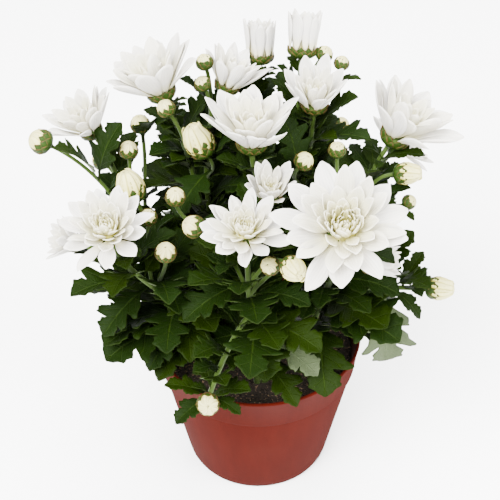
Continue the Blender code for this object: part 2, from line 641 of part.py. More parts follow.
def make_pot(material, collection, cutters):
    """The nursery pot, with its drain slots cut through the corner of its foot."""
    pot = screw_object("pot", pot_profile(), POT_STEPS, material, collection)
    slots = bpy.data.collections.new("drain_slots")
    cutters.children.link(slots)
    for bearing in SLOT_BEARINGS:
        bm = bmesh.new()
        bmesh.ops.create_cube(bm, size=1)
        bmesh.ops.scale(bm, vec=SLOT_SIZE, verts=bm.verts)
        slot = add_object("drain_slot", mesh_of(bm, "drain_slot"), slots)
        turn = math.radians(bearing)
        slot.location = (FOOT_RADIUS * 1.09 * math.cos(turn), FOOT_RADIUS * 1.09 * math.sin(turn), 0)
        slot.rotation_euler = (0, 0, turn)
        slot.hide_render = True
        slot.display_type = "WIRE"
    cut = pot.modifiers.new("slots", "BOOLEAN")
    cut.operation = "DIFFERENCE"
    cut.operand_type = "COLLECTION"
    cut.collection = slots
    cut.solver = "EXACT"
    return pot


def make_soil(mains, material, collection, cutters):
    """The potting soil: it fills the pot, crumbly on top, with a plain hole round each stem."""
    floor_z = FLOOR + GAP
    collar_z = POT_HEIGHT - COLLAR_HEIGHT
    slope = (RIM_RADIUS - WALL_TOP_RADIUS) / COLLAR_HEIGHT
    level_radius = WALL_TOP_RADIUS - WALL - 2 * GAP + slope * (SOIL_LEVEL - collar_z)
    profile = ((FOOT_RADIUS - WALL - 2 * GAP, floor_z), (WALL_FOOT_RADIUS - WALL - 2 * GAP, CORNER_HEIGHT),
               (WALL_TOP_RADIUS - WALL - 2 * GAP, collar_z), (level_radius - GAP, SOIL_LEVEL),
               (0.035, SOIL_LEVEL))
    bm = turned(profile, SOIL_STEPS)
    chance = random.Random(SEED)
    for vert in bm.verts:
        if vert.co.z > SOIL_LEVEL - 1e-5 and math.hypot(vert.co.x, vert.co.y) < 0.05:
            vert.co.z += chance.uniform(-CRUMB, CRUMB)
    soil = add_object("soil", mesh_of(bm, "soil"), collection)
    soil.data.materials.append(material)
    holes = bpy.data.collections.new("stem_holes")
    cutters.children.link(holes)
    for path in mains.values():
        below = path[0] - Vector((0, 0, GAP))
        bore = tube([below] + path[1:3], MAIN_RADIUS + 2 * GAP, 1)
        hole = add_object("stem_hole", mesh_of(bore, "stem_hole"), holes)
        hole.hide_render = True
        hole.display_type = "WIRE"
    cut = soil.modifiers.new("holes", "BOOLEAN")
    cut.operation = "DIFFERENCE"
    cut.operand_type = "COLLECTION"
    cut.collection = holes
    cut.solver = "MANIFOLD"
    return soil


def main():
    clear_scene()
    plant = bpy.data.collections.new("pot_chrysanthemum")
    cutters = bpy.data.collections.new("cutters")
    bpy.context.scene.collection.children.link(plant)
    bpy.context.scene.collection.children.link(cutters)
    white = make_material("petal_white", WHITE, 0.55)
    green = make_material("leaf_green", LEAF_GREEN, 0.5)

    mains, shoots = stem_paths()
    make_pot(make_material("terracotta_plastic", TERRACOTTA, 0.4), plant, cutters)
    make_soil(mains, make_material("peat", PEAT, 0.95), plant, cutters)

    greens = {name: [tube(path, MAIN_RADIUS, 1)] for name, path in mains.items()}
    flowers = {}
    for head in HEADS:
        radius = SHOOT_RADIUS if head.branch is None else STALK_RADIUS
        greens[cutting_of(head)] += [tube(shoots[head.name], radius, 0), calyx(head)]
        flowers[head.name] = flower(head)

    solids = [(name, bm) for name, pieces in greens.items() for bm in pieces] + list(flowers.items())
    for name, leaf in grow_leaves(planned_leaves(mains, shoots), solids):
        greens[name].append(leaf)
    for name, pieces in greens.items():
        fuse(name + "_leafy_stem", pieces, green, plant)
    for name, bm in flowers.items():
        add_object(name, mesh_of(bm, name), plant).data.materials.append(white)


main()
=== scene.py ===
"""The looks of a white pot chrysanthemum, built round its packed solids.

Sizes are in metres and +Z is up, as in the solids. The stems, leaves and flower heads follow the same
plan as the solids do, with finer forms: ribbed stems, toothed leaves, scaly calyxes and curved petals.
"""

import json
import math
import random
from collections import namedtuple

import bmesh
import bpy
from mathutils import Matrix, Quaternion, Vector, noise
from mathutils.bvhtree import BVHTree
from mathutils.kdtree import KDTree

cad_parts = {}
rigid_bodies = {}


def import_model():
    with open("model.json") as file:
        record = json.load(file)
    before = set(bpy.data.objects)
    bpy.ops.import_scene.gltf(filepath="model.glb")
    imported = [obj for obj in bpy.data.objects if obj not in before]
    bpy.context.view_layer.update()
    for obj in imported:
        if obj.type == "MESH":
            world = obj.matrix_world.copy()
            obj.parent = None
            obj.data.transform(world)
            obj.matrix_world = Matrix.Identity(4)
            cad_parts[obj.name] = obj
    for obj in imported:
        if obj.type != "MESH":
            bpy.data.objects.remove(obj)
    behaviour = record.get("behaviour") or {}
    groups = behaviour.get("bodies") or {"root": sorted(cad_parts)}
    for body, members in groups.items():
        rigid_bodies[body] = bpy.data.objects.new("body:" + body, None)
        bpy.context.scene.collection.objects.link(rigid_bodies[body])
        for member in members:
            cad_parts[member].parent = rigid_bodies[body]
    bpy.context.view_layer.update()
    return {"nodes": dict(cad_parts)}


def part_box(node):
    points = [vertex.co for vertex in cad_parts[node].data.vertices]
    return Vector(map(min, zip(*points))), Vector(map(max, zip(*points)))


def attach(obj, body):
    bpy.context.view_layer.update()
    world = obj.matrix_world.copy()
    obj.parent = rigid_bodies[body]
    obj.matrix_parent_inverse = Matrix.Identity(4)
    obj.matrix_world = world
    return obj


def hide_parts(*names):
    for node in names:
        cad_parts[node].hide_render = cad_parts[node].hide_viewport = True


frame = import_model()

_, POT_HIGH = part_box("pot")

bl_info = {
    "name": "Pot chrysanthemum",
    "version": (1, 0, 0),
    "blender": (4, 5, 0),
    "location": "3D View > Sidebar > Plant",
    "description": "Builds the looks of a white pot chrysanthemum round its packed solids",
    "category": "Object",
}

# The pot and its soil, as in the solids
POT_HEIGHT = POT_HIGH.z
RIM_RADIUS = POT_HIGH.x
COLLAR_HEIGHT = 0.0205
COLLAR_FOOT = POT_HEIGHT - COLLAR_HEIGHT
COLLAR_FOOT_RADIUS = 0.0574
WALL_TOP_RADIUS = 0.0564
WALL_FOOT_RADIUS = 0.0438
CORNER_HEIGHT = 0.0060
FOOT_RADIUS = 0.0395
FLOOR = 0.0020
POT_STEPS = 96
SLOT_BEARINGS = (217, 337, 97)
SLOT_SIZE = (0.0060, 0.0110, 0.0050)
SLOT_REACH = 1.09
SLOT_ROUNDING = 0.0009
CREASE_ANGLE = 50
SOIL_LEVEL = 0.079
SOIL_GAP = 0.0006
SOIL_STEPS = 80
SOIL_RINGS = 22
CRUMBS = 320
CRUMB_MARGIN = 0.010

# The plant's plan, as in the solids: the height of the stems' feet, where the shoots leave a main stem,
# how far a stem's bends reach along it, how many points of a stem a leaf can grow from, and how near to
# the solid's corners its edge has to come
ROOTED_AT = 0.045
CROWN_SHARE = 0.97
BEND = 0.35
STEM_POINTS = 20
PLAN_GAP = 0.0012

Cutting = namedtuple("Cutting", "foot crown")
CUTTINGS = {
    "left": Cutting((-0.026, -0.008), (-0.046, -0.026, 0.136)),
    "front": Cutting((0.000, -0.028), (-0.004, -0.045, 0.146)),
    "right": Cutting((0.027, -0.008), (0.036, -0.024, 0.140)),
    "back_left": Cutting((-0.015, 0.020), (-0.026, 0.020, 0.142)),
    "back_right": Cutting((0.015, 0.020), (0.020, 0.022, 0.145)),
}

# One flower head: its cutting, name and kind, the middle of its calyx's top, the way it faces and its
# span. Unless it grows from the crown, the earlier head whose shoot it branches from and how far up.
Head = namedtuple("Head", "cutting name kind place facing span parent share", defaults=(None, None))
PLAN = {
    "left": (
        ("bloom_1", "bowl", (-0.088, 0.020, 0.217), (-0.42, -0.03, 0.90), 0.037),
        ("bloom_2", "open", (-0.071, -0.060, 0.211), (-0.12, -0.28, 0.95), 0.046),
        ("bloom_3", "cup", (-0.094, -0.030, 0.181), (-0.86, -0.20, 0.48), 0.020),
        ("bud_1", "egg", (-0.064, -0.010, 0.197), (-0.34, 0.17, 0.92), 0.0145, "bloom_1", 0.30),
        ("bud_2", "bud", (-0.110, 0.000, 0.223), (-0.80, -0.10, 0.56), 0.0125, "bloom_1", 0.40),
        ("bud_3", "bud", (-0.062, 0.022, 0.219), (-0.10, -0.11, 0.98), 0.0100, "bloom_1", 0.30),
        ("bud_4", "bud", (-0.067, 0.005, 0.214), (0.02, -0.10, 0.99), 0.0095, "bloom_1", 0.45),
        ("bud_5", "bud", (-0.055, -0.032, 0.199), (0.07, -0.55, 0.83), 0.0085, "bloom_2", 0.30),
        ("bud_6", "bud", (-0.045, -0.055, 0.195), (0.04, -0.34, 0.94), 0.0100, "bloom_2", 0.20),
        ("bud_7", "bud", (-0.088, 0.048, 0.178), (-0.66, 0.42, 0.62), 0.0115, "bloom_1", 0.20),
    ),
    "back_left": (
        ("bloom_1", "bowl", (-0.050, 0.022, 0.240), (-0.36, 0.08, 0.93), 0.046),
        ("bloom_2", "cup", (-0.016, 0.026, 0.241), (0.40, 0.13, 0.90), 0.028),
        ("bloom_3", "tube", (0.001, 0.047, 0.246), (0.00, 0.30, 0.95), 0.0175),
        ("bud_1", "egg", (-0.028, 0.004, 0.216), (-0.48, 0.10, 0.87), 0.0155, "bloom_2", 0.42),
        ("bud_2", "bud", (-0.046, 0.004, 0.240), (-0.46, -0.09, 0.88), 0.0090, "bloom_1", 0.55),
        ("bud_3", "bud", (-0.027, 0.024, 0.255), (-0.20, -0.10, 0.97), 0.0085, "bloom_2", 0.60),
        ("bud_4", "bud", (-0.028, 0.018, 0.246), (-0.30, -0.20, 0.93), 0.0080, "bloom_2", 0.50),
        ("bloom_4", "open", (-0.036, 0.082, 0.176), (-0.30, 0.68, 0.66), 0.044),
    ),
    "front": (
        ("bloom_1", "open", (-0.006, -0.061, 0.211), (-0.05, -0.22, 0.97), 0.043),
        ("bloom_2", "cup", (0.006, -0.028, 0.210), (0.05, -0.24, 0.97), 0.023),
        ("bud_1", "bud", (-0.031, -0.046, 0.204), (-0.74, -0.27, 0.62), 0.0110, "bloom_1", 0.30),
        ("bud_2", "bud", (-0.041, -0.030, 0.210), (0.03, -0.28, 0.96), 0.0095, "bloom_2", 0.30),
        ("bud_3", "bud", (0.006, -0.066, 0.196), (-0.32, -0.65, 0.69), 0.0090, "bloom_1", 0.25),
        ("bud_4", "egg", (0.015, -0.072, 0.201), (0.47, -0.86, 0.20), 0.0115, "bloom_1", 0.40),
        ("bud_5", "bud", (-0.026, -0.077, 0.111), (0.05, -0.82, 0.57), 0.0115),
    ),
    "back_right": (
        ("bloom_1", "bowl", (-0.003, -0.010, 0.230), (0.00, -0.04, 1.00), 0.047),
        ("bloom_2", "cup", (0.029, 0.014, 0.237), (0.03, -0.10, 0.99), 0.029),
        ("bloom_3", "tube", (0.023, 0.036, 0.256), (0.07, 0.35, 0.93), 0.0180),
        ("bud_1", "bud", (0.023, -0.012, 0.219), (0.41, -0.32, 0.85), 0.0095, "bloom_2", 0.35),
        ("bud_2", "bud", (0.043, 0.030, 0.251), (0.20, -0.05, 0.98), 0.0075, "bloom_3", 0.55),
        ("bloom_4", "open", (0.024, 0.086, 0.176), (0.15, 0.72, 0.66), 0.046),
        ("bud_3", "bud", (0.048, 0.074, 0.184), (0.45, 0.55, 0.70), 0.0100, "bloom_4", 0.50),
        ("bud_4", "bud", (0.034, 0.034, 0.254), (0.50, -0.10, 0.86), 0.0085, "bloom_3", 0.70),
    ),
    "right": (
        ("bloom_1", "open", (0.039, -0.073, 0.223), (0.02, -0.50, 0.86), 0.061),
        ("bloom_2", "bowl", (0.072, 0.015, 0.217), (0.48, 0.05, 0.88), 0.049),
        ("bloom_3", "tube", (0.055, -0.045, 0.182), (0.96, -0.22, 0.12), 0.0150),
        ("bud_1", "egg", (0.073, -0.007, 0.208), (0.95, -0.20, 0.22), 0.0115, "bloom_2", 0.45),
        ("bud_2", "egg", (0.094, -0.022, 0.143), (0.94, -0.26, 0.22), 0.0125),
        ("bud_3", "bud", (0.040, -0.008, 0.223), (-0.02, -0.10, 0.99), 0.0085, "bloom_2", 0.30),
        ("bud_4", "bud", (0.079, -0.006, 0.189), (0.75, -0.20, 0.63), 0.0075, "bud_1", 0.40),
        ("bloom_4", "open", (0.079, 0.058, 0.180), (0.66, 0.42, 0.62), 0.042),
    ),
}
HEADS = [Head(cutting, f"{cutting}_{name}", *rest) for cutting, heads in PLAN.items()
         for name, *rest in heads]

# A leaf's outline from the stem to its tip: how far along, its half width there and how far the edge
# sweeps forward, as shares of its length. Wide rows are lobes and narrow ones the bays between them.
THREE_LOBED = ((0.00, 0.000, 0.00), (0.20, 0.035, 0.00), (0.34, 0.270, 0.06), (0.50, 0.130, 0.05),
               (0.60, 0.330, 0.14), (0.76, 0.170, 0.05), (1.00, 0.000, 0.00))
TWO_LOBED = ((0.00, 0.000, 0.00), (0.40, 0.280, 0.08), (0.54, 0.140, 0.05), (0.66, 0.260, 0.12),
             (1.00, 0.000, 0.00))
PLAIN = ((0.00, 0.000, 0.00), (0.48, 0.240, 0.10), (0.70, 0.150, 0.04), (1.00, 0.000, 0.00))

# The same outlines as they're drawn, with deeper bays and an end lobe.
DRAWN = {
    THREE_LOBED: ((0.00, 0.00, 0.00), (0.18, 0.02, 0.00), (0.31, 0.25, 0.14), (0.43, 0.07, 0.03),
                  (0.56, 0.31, 0.19), (0.68, 0.08, 0.04), (0.82, 0.17, 0.06), (1.00, 0.00, 0.00)),
    TWO_LOBED: ((0.00, 0.00, 0.00), (0.20, 0.02, 0.00), (0.38, 0.27, 0.15), (0.49, 0.09, 0.03),
                (0.61, 0.26, 0.16), (0.72, 0.08, 0.04), (0.83, 0.15, 0.05), (1.00, 0.00, 0.00)),
    PLAIN: ((0.00, 0.00, 0.00), (0.20, 0.03, 0.00), (0.46, 0.24, 0.15), (0.62, 0.10, 0.04),
            (0.78, 0.16, 0.06), (1.00, 0.00, 0.00)),
}

# One listed leaf: where its petiole starts, its tip, its width as a share of the outline's, its
# roll in degrees, and whether its underside is up. It grows from the nearest stem of its cutting.
Leaf = namedtuple("Leaf", "near tip width roll over", defaults=(0, False))
LEAVES = {
    "left": (
        Leaf((-0.082, -0.012, 0.200), (-0.107, -0.012, 0.220), 1.05),
        Leaf((-0.076, 0.000, 0.204), (-0.071, 0.012, 0.227), 1.10),
        Leaf((-0.046, 0.006, 0.214), (-0.057, 0.012, 0.234), 0.95, over=True),
        Leaf((-0.044, -0.004, 0.211), (-0.066, 0.000, 0.222), 0.95),
        Leaf((-0.056, -0.045, 0.156), (-0.098, -0.036, 0.170), 1.10, 10),
        Leaf((-0.053, -0.046, 0.158), (-0.027, -0.047, 0.168), 1.10),
        Leaf((-0.052, -0.040, 0.122), (-0.092, -0.022, 0.143), 1.30, 15),
        Leaf((-0.052, -0.032, 0.109), (-0.082, -0.048, 0.116), 1.30),
        Leaf((-0.047, -0.038, 0.112), (-0.059, -0.050, 0.109), 0.95),
        Leaf((-0.057, -0.030, 0.149), (-0.089, -0.036, 0.134), 1.10),
        Leaf((-0.077, -0.020, 0.175), (-0.100, -0.010, 0.160), 1.00),
        Leaf((-0.046, -0.040, 0.138), (-0.022, -0.062, 0.150), 1.05),
    ),
    "front": (
        Leaf((-0.015, -0.048, 0.167), (-0.037, -0.068, 0.162), 1.05),
        Leaf((-0.001, -0.046, 0.165), (0.026, -0.062, 0.168), 1.10),
        Leaf((-0.012, -0.044, 0.131), (0.004, -0.078, 0.130), 1.35),
        Leaf((-0.014, -0.042, 0.120), (-0.028, -0.066, 0.124), 1.10),
        Leaf((0.015, -0.038, 0.124), (0.032, -0.060, 0.116), 1.05, over=True),
        Leaf((-0.028, -0.073, 0.113), (-0.048, -0.072, 0.121), 0.95),
        Leaf((-0.024, -0.072, 0.109), (-0.039, -0.087, 0.103), 1.15),
        Leaf((-0.023, -0.072, 0.112), (-0.004, -0.080, 0.125), 1.00),
        Leaf((-0.023, -0.074, 0.108), (-0.009, -0.080, 0.107), 0.95),
        Leaf((0.011, -0.052, 0.102), (0.021, -0.066, 0.099), 0.85),
        Leaf((-0.009, -0.050, 0.138), (-0.024, -0.050, 0.155), 0.95),
    ),
    "right": (
        Leaf((0.047, -0.034, 0.155), (0.074, -0.040, 0.156), 1.25),
        Leaf((0.024, -0.036, 0.125), (0.067, -0.052, 0.142), 1.20),
        Leaf((0.031, -0.046, 0.112), (0.036, -0.064, 0.103), 0.95),
        Leaf((0.065, -0.026, 0.125), (0.071, -0.034, 0.099), 1.00, over=True),
        Leaf((0.070, -0.028, 0.125), (0.088, -0.030, 0.128), 0.90),
        Leaf((0.082, -0.024, 0.143), (0.090, -0.022, 0.155), 0.85),
        Leaf((0.072, 0.004, 0.203), (0.087, 0.006, 0.211), 0.95),
        Leaf((0.063, -0.006, 0.193), (0.079, -0.008, 0.200), 0.95),
        Leaf((0.070, -0.006, 0.188), (0.085, -0.008, 0.184), 0.80),
        Leaf((0.060, -0.030, 0.152), (0.076, -0.034, 0.171), 1.00),
        Leaf((0.047, -0.012, 0.161), (0.067, -0.018, 0.173), 1.05),
    ),
    "back_right": (
        Leaf((0.031, 0.006, 0.213), (0.050, 0.014, 0.242), 1.10),
        Leaf((0.016, -0.004, 0.208), (0.013, 0.004, 0.236), 1.15),
        Leaf((0.031, 0.032, 0.247), (0.040, 0.034, 0.259), 0.90),
        Leaf((0.056, 0.022, 0.231), (0.053, 0.026, 0.245), 0.80),
        Leaf((0.043, 0.002, 0.207), (0.057, 0.002, 0.225), 1.00),
        Leaf((0.022, 0.020, 0.223), (0.011, 0.030, 0.252), 0.90),
    ),
    "back_left": (
        Leaf((-0.029, 0.016, 0.232), (-0.039, 0.020, 0.249), 1.00),
        Leaf((0.001, 0.034, 0.224), (0.005, 0.040, 0.246), 1.05),
        Leaf((-0.025, 0.010, 0.217), (-0.036, 0.014, 0.240), 1.00),
        Leaf((-0.023, -0.004, 0.189), (-0.042, -0.020, 0.191), 1.05),
        Leaf((-0.011, 0.004, 0.215), (-0.003, 0.000, 0.230), 1.00),
    ),
}

# The leaves placed by rule: the angle from one to the next, how far up a main stem or a shoot they grow
# and their length there, how far they rise above level, the lengths from which they have two lobes and
# three, how far they arch and fold, and how much chance there is in their angles.
GOLDEN_ANGLE = 137.5
MAIN_LEAVES = ((0.58, 0.044), (0.76, 0.048), (0.93, 0.044))
SHOOT_LEAVES = ((0.24, 0.040), (0.56, 0.026))
MAIN_RISE = 10
SHOOT_RISE = 32
SMALL_LEAF = 0.029
LARGE_LEAF = 0.045
LEAF_ARCH = 0.10
LEAF_FOLD = 0.22
RISE_PLAY = 12
ROLL_PLAY = 15
BEARING_PLAY = 15
SEED = 11

# The turns and lifts, in degrees, that a leaf tries until it is clear of its neighbours
TRIES = ((0, 0), (14, 0), (-14, 0), (0, 14), (28, 0), (-28, 0), (14, 14), (-14, 14), (0, -14),
         (42, 0), (-42, 0), (28, 14), (-28, 14), (56, 8), (-56, 8), (72, 0), (-72, 0))

# The filling leaves: how far up a main stem, a shoot or a stalk they grow, and their length there. They
# are tried in rounds, each a step further on and shorter, and at a few turns until one is clear.
MAIN_FILL = ((0.52, 0.036), (0.64, 0.042), (0.70, 0.036), (0.80, 0.042), (0.88, 0.036), (0.97, 0.038))
SHOOT_FILL = ((0.10, 0.040), (0.20, 0.034), (0.32, 0.040), (0.42, 0.034), (0.50, 0.036), (0.62, 0.032),
              (0.70, 0.030), (0.78, 0.024), (0.88, 0.014))
STALK_FILL = ((0.15, 0.022), (0.40, 0.018))
FILL_TURNS = (0, 20, -25, 50, -60, 90)
FILL_STEP = 0.035
FILL_SHRINK = 0.85
FILL_LOWEST = SOIL_LEVEL + 0.01
FILL_ROUNDS = {"left": 2, "front": 1, "right": 2, "back_left": 3, "back_right": 3}
MAIN_FILL_RISE = 18
SHOOT_FILL_RISE = 42

# The leaves that hang over the rim: their cutting, then each one's share, length and bearing.
RIM_LEAVES = (
    ("back_left", ((0.47, 0.050, 98), (0.50, 0.048, 140), (0.55, 0.050, 118), (0.60, 0.050, 165),
                   (0.64, 0.046, 80), (0.72, 0.050, 130), (0.78, 0.048, 100), (0.84, 0.046, 150),
                   (0.90, 0.050, 176), (0.96, 0.050, 196), (0.99, 0.048, 158))),
    ("back_right", ((0.47, 0.050, 82), (0.50, 0.048, 38), (0.55, 0.050, 62), (0.60, 0.050, 12),
                    (0.64, 0.046, 98), (0.72, 0.050, 48), (0.78, 0.048, 78), (0.84, 0.046, 25))),
    ("left", ((0.47, 0.044, 150), (0.54, 0.048, 175), (0.60, 0.046, 135), (0.66, 0.046, 200),
              (0.74, 0.046, 160), (0.90, 0.046, 100), (0.97, 0.044, 70))),
    ("front", ((0.48, 0.040, 232), (0.54, 0.046, 255), (0.60, 0.046, 215), (0.66, 0.044, 290),
               (0.72, 0.048, 240))),
    ("left", ((0.50, 0.044, 265), (0.58, 0.046, 285))),
    ("right", ((0.47, 0.044, 30), (0.54, 0.048, 5), (0.60, 0.046, 45), (0.66, 0.046, -20),
               (0.74, 0.046, 20))),
)
RIM_RISE = 14

# How finely things are drawn
STEM_STEPS = 16
STEM_SIDES = 12
LEAF_ROWS = 38
LEAF_COLUMNS = 6
PETAL_ROWS = 9
PETAL_COLUMNS = 4
FLORET_ROWS = 5
SCALE_ROWS = 3
CUP_STEPS = 20

# The shapes of stems and of leaves: the share of a leaf that may touch its stem, the height and pace of
# the waves on its edge, its teeth, the half width from which they're full, and the most that it droops
STEM_RIBS = 0.10
STALK_TAPER = 0.85
PETIOLE_RADIUS = 0.0006
FREE_FROM = 0.25
WAVE = 0.05
WAVES = 14
LEAF_TEETH = 10
FULL_TEETH_WIDTH = 0.10
SOLID_DROOP = 0.06
FILL_DROOP = 0.22
LEAF_TONES = (0.0, 0.1, 0.35, 0.7, 1.0)

# Where a petal is widest, where the lowest scales start and end on a calyx and how far up the highest
# start, and how far a blade in a ring reaches to each side, over its share of the ring
PETAL_WIDEST = 0.62
LOWEST_SCALE_FOOT = 0.12
LOWEST_SCALE_TIP = 0.72
SCALE_CLIMB = 0.62
BLADE_REACH = 0.62

# One ring of petals: how many, their lift at the root and how much more they rise by their tip, in
# degrees, how far out and up from the calyx's middle they root, and their length and width, as shares
# of half the head's span.
Ring = namedtuple("Ring", "count lift curl root height length width")

# One kind of head: its calyx's radius and depth, how many rings of scales it has and how far up they
# reach, how unevenly its petals sit, its rings of petals, and its heart as (florets, radius, length).
Kind = namedtuple("Kind", "calyx depth scales reach play rings heart")
KINDS = {
    "open": Kind(0.28, 0.24, 2, 1.25, 1.5, (
        Ring(11, 14, 16, 0.25, 0.00, 0.88, 0.35), Ring(11, 28, 18, 0.22, 0.05, 0.76, 0.30),
        Ring(11, 43, 24, 0.18, 0.09, 0.59, 0.25), Ring(11, 57, 32, 0.15, 0.12, 0.46, 0.20)),
        (46, 0.17, 0.36)),
    "bowl": Kind(0.32, 0.28, 2, 1.25, 1.2, (
        Ring(10, 40, 12, 0.26, 0.00, 1.20, 0.46), Ring(9, 50, 14, 0.22, 0.05, 1.06, 0.41),
        Ring(9, 61, 14, 0.17, 0.10, 0.82, 0.32), Ring(8, 72, 18, 0.13, 0.14, 0.56, 0.24)),
        (36, 0.17, 0.42)),
    "cup": Kind(0.44, 0.36, 2, 1.30, 1.1, (
        Ring(9, 50, 14, 0.38, 0.00, 1.50, 0.52), Ring(9, 60, 14, 0.30, 0.05, 1.28, 0.43),
        Ring(8, 70, 14, 0.20, 0.10, 0.92, 0.32)),
        (26, 0.20, 0.62)),
    "tube": Kind(0.80, 0.55, 3, 1.30, 0.3, (
        Ring(10, 84, 2, 0.78, 0.00, 2.20, 0.74), Ring(9, 87, 1, 0.60, 0.05, 2.08, 0.66)),
        (8, 0.40, 1.60)),
    "egg": Kind(0.84, 0.60, 3, 2.20, 0.3, (), ()),
    "bud": Kind(0.96, 0.80, 3, 1.90, 0.3, (), ()),
}

# A closed head's white part: its greatest radius, the height of that and of its top, as shares of half
# the span, how many petals wrap it, how far they twist on the way up, and how far their tips loosen.
Closed = namedtuple("Closed", "radius wide top petals twist loose")
CLOSED = {
    "egg": Closed(0.93, 0.56, 1.92, 9, 34, 0.55),
    "bud": Closed(0.88, 0.24, 1.12, 8, 50, 0.00),
}
LOWEST_ANGLE = -42

# Buds under this span are still green: their scales reach this much further up.
GREEN_SPAN = 0.0088
GREEN_REACH = 0.50

# The colours of the dust on the pot and of the bark in the soil
DUST = (0.040, 0.010, 0.006)
BARK = (0.150, 0.095, 0.055)

# The lights: name, place, size and the setting that holds their power
LIGHTS = (("key", (-0.9, -1.3, 1.9), 1.6, "key"), ("fill", (1.5, -0.9, 1.2), 1.4, "fill"),
          ("top", (0.2, 0.9, 2.0), 1.6, "fill"))

# The floor, and the camera, where the photo was taken from
FLOOR_SIZE = 20.0
CAMERA_PLACE = (0.0, -0.4795, 0.5455)
CAMERA_PITCH = 50.6
CAMERA_LENS = 81.2
CAMERA_SHIFT = -0.0158


def length_property(name, description, default):
    return bpy.props.FloatProperty(name=name, description=description, default=default, min=0.0,
                                   precision=4, unit="LENGTH")


def colour_property(name, description, default):
    return bpy.props.FloatVectorProperty(name=name, description=description, default=default, size=3,
                                         min=0.0, max=1.0, subtype="COLOR")


class PotSettings(bpy.types.PropertyGroup):
    """The nursery pot and its soil"""

    wall: length_property("Wall", "Thickness of the pot's wall", 0.0012)
    lip: length_property("Lip", "Radius of the rounding on the rim", 0.0005)
    crumb: length_property("Crumb", "How far the soil's crumbs stand up and down", 0.0022)
    plastic: colour_property("Plastic", "Colour of the pot", (0.029, 0.0026, 0.0011))
    peat: colour_property("Peat", "Colour of the soil", (0.0085, 0.0058, 0.0036))


class StemSettings(bpy.types.PropertyGroup):
    """The stems and calyxes"""

    main_radius: length_property("Main stem", "Radius of a main stem", 0.0021)
    shoot_radius: length_property("Shoot", "Radius of a flowering shoot", 0.0016)
    stalk_radius: length_property("Stalk", "Radius of a bud's stalk", 0.0012)
    scale_thickness: length_property("Scale", "Thickness of a calyx scale", 0.0003)
    green: colour_property("Green", "Colour of the stems", (0.026, 0.048, 0.005))
    scale_green: colour_property("Scale green", "Colour of the calyx scales", (0.009, 0.021, 0.001))
    scale_brown: colour_property("Scale edge", "Colour of the scales' dry edges", (0.062, 0.030, 0.009))


class LeafSettings(bpy.types.PropertyGroup):
    """The leaves"""

    thickness: length_property("Thickness", "Thickness of a leaf", 0.0004)
    tooth: bpy.props.FloatProperty(name="Teeth", default=0.045, min=0.0, max=0.1, subtype="FACTOR",
                                   description="Depth of the teeth as a share of the leaf's length")
    dark: colour_property("Blue-green", "Colour of the duller leaves", (0.0034, 0.0090, 0.0007))
    bright: colour_property("Olive green", "Colour of the brighter leaves", (0.0055, 0.0120, 0.0002))
    vein: colour_property("Veins", "Colour of the midrib and veins", (0.0140, 0.0270, 0.0030))
    underside: colour_property("Underside", "Colour of the pale underside", (0.036, 0.050, 0.020))


class FlowerSettings(bpy.types.PropertyGroup):
    """The blooms and buds"""

    thickness: length_property("Thickness", "Thickness of a petal", 0.0003)
    white: colour_property("White", "Colour of the petals", (0.545, 0.524, 0.482))
    cream: colour_property("Cream", "Colour of the heart and of closed buds", (0.520, 0.475, 0.125))
    # The lines colour is also mixed low into each bloom's heart: partly its own yellow-green, partly
    # painted shade between the florets.
    line: colour_property("Lines", "Yellow-green lines between a bud's petals", (0.330, 0.300, 0.040))


class StageSettings(bpy.types.PropertyGroup):
    """The floor and the lights"""

    key: bpy.props.FloatProperty(name="Key light", description="Power of the main light in watts",
                                 default=470.0, min=0.0)
    fill: bpy.props.FloatProperty(name="Fill light", description="Power of the fill light in watts",
                                  default=170.0, min=0.0)
    sky: bpy.props.FloatProperty(name="Sky", description="Strength of the light from all round",
                                 default=0.62, min=0.0)
    floor: colour_property("Floor", "Colour of the floor", (0.97, 0.97, 0.97))


SETTINGS = {"pot": PotSettings, "stems": StemSettings, "leaves": LeafSettings,
            "flowers": FlowerSettings, "stage": StageSettings}


class PlantSettings(bpy.types.PropertyGroup):
    """All of the plant's settings"""

    pot: bpy.props.PointerProperty(type=PotSettings)
    stems: bpy.props.PointerProperty(type=StemSettings)
    leaves: bpy.props.PointerProperty(type=LeafSettings)
    flowers: bpy.props.PointerProperty(type=FlowerSettings)
    stage: bpy.props.PointerProperty(type=StageSettings)


class Value:
    """A shader node's output. An expression on it adds Math nodes."""

    def __init__(self, paint, socket):
        self.paint = paint
        self.socket = socket

    def math(self, operation, *others):
        inputs = dict(enumerate((self,) + others))
        return self.paint.node("ShaderNodeMath", {"operation": operation}, inputs)

    def __add__(self, other):
        return self.math("ADD", other)

    def __mul__(self, other):
        return self.math("MULTIPLY", other)

    def __sub__(self, other):
        return self.math("SUBTRACT", other)

    def __rsub__(self, other):
        return self.math("MULTIPLY", -1) + other

    def __abs__(self):
        return self.math("ABSOLUTE")

    __radd__ = __add__
    __rmul__ = __mul__


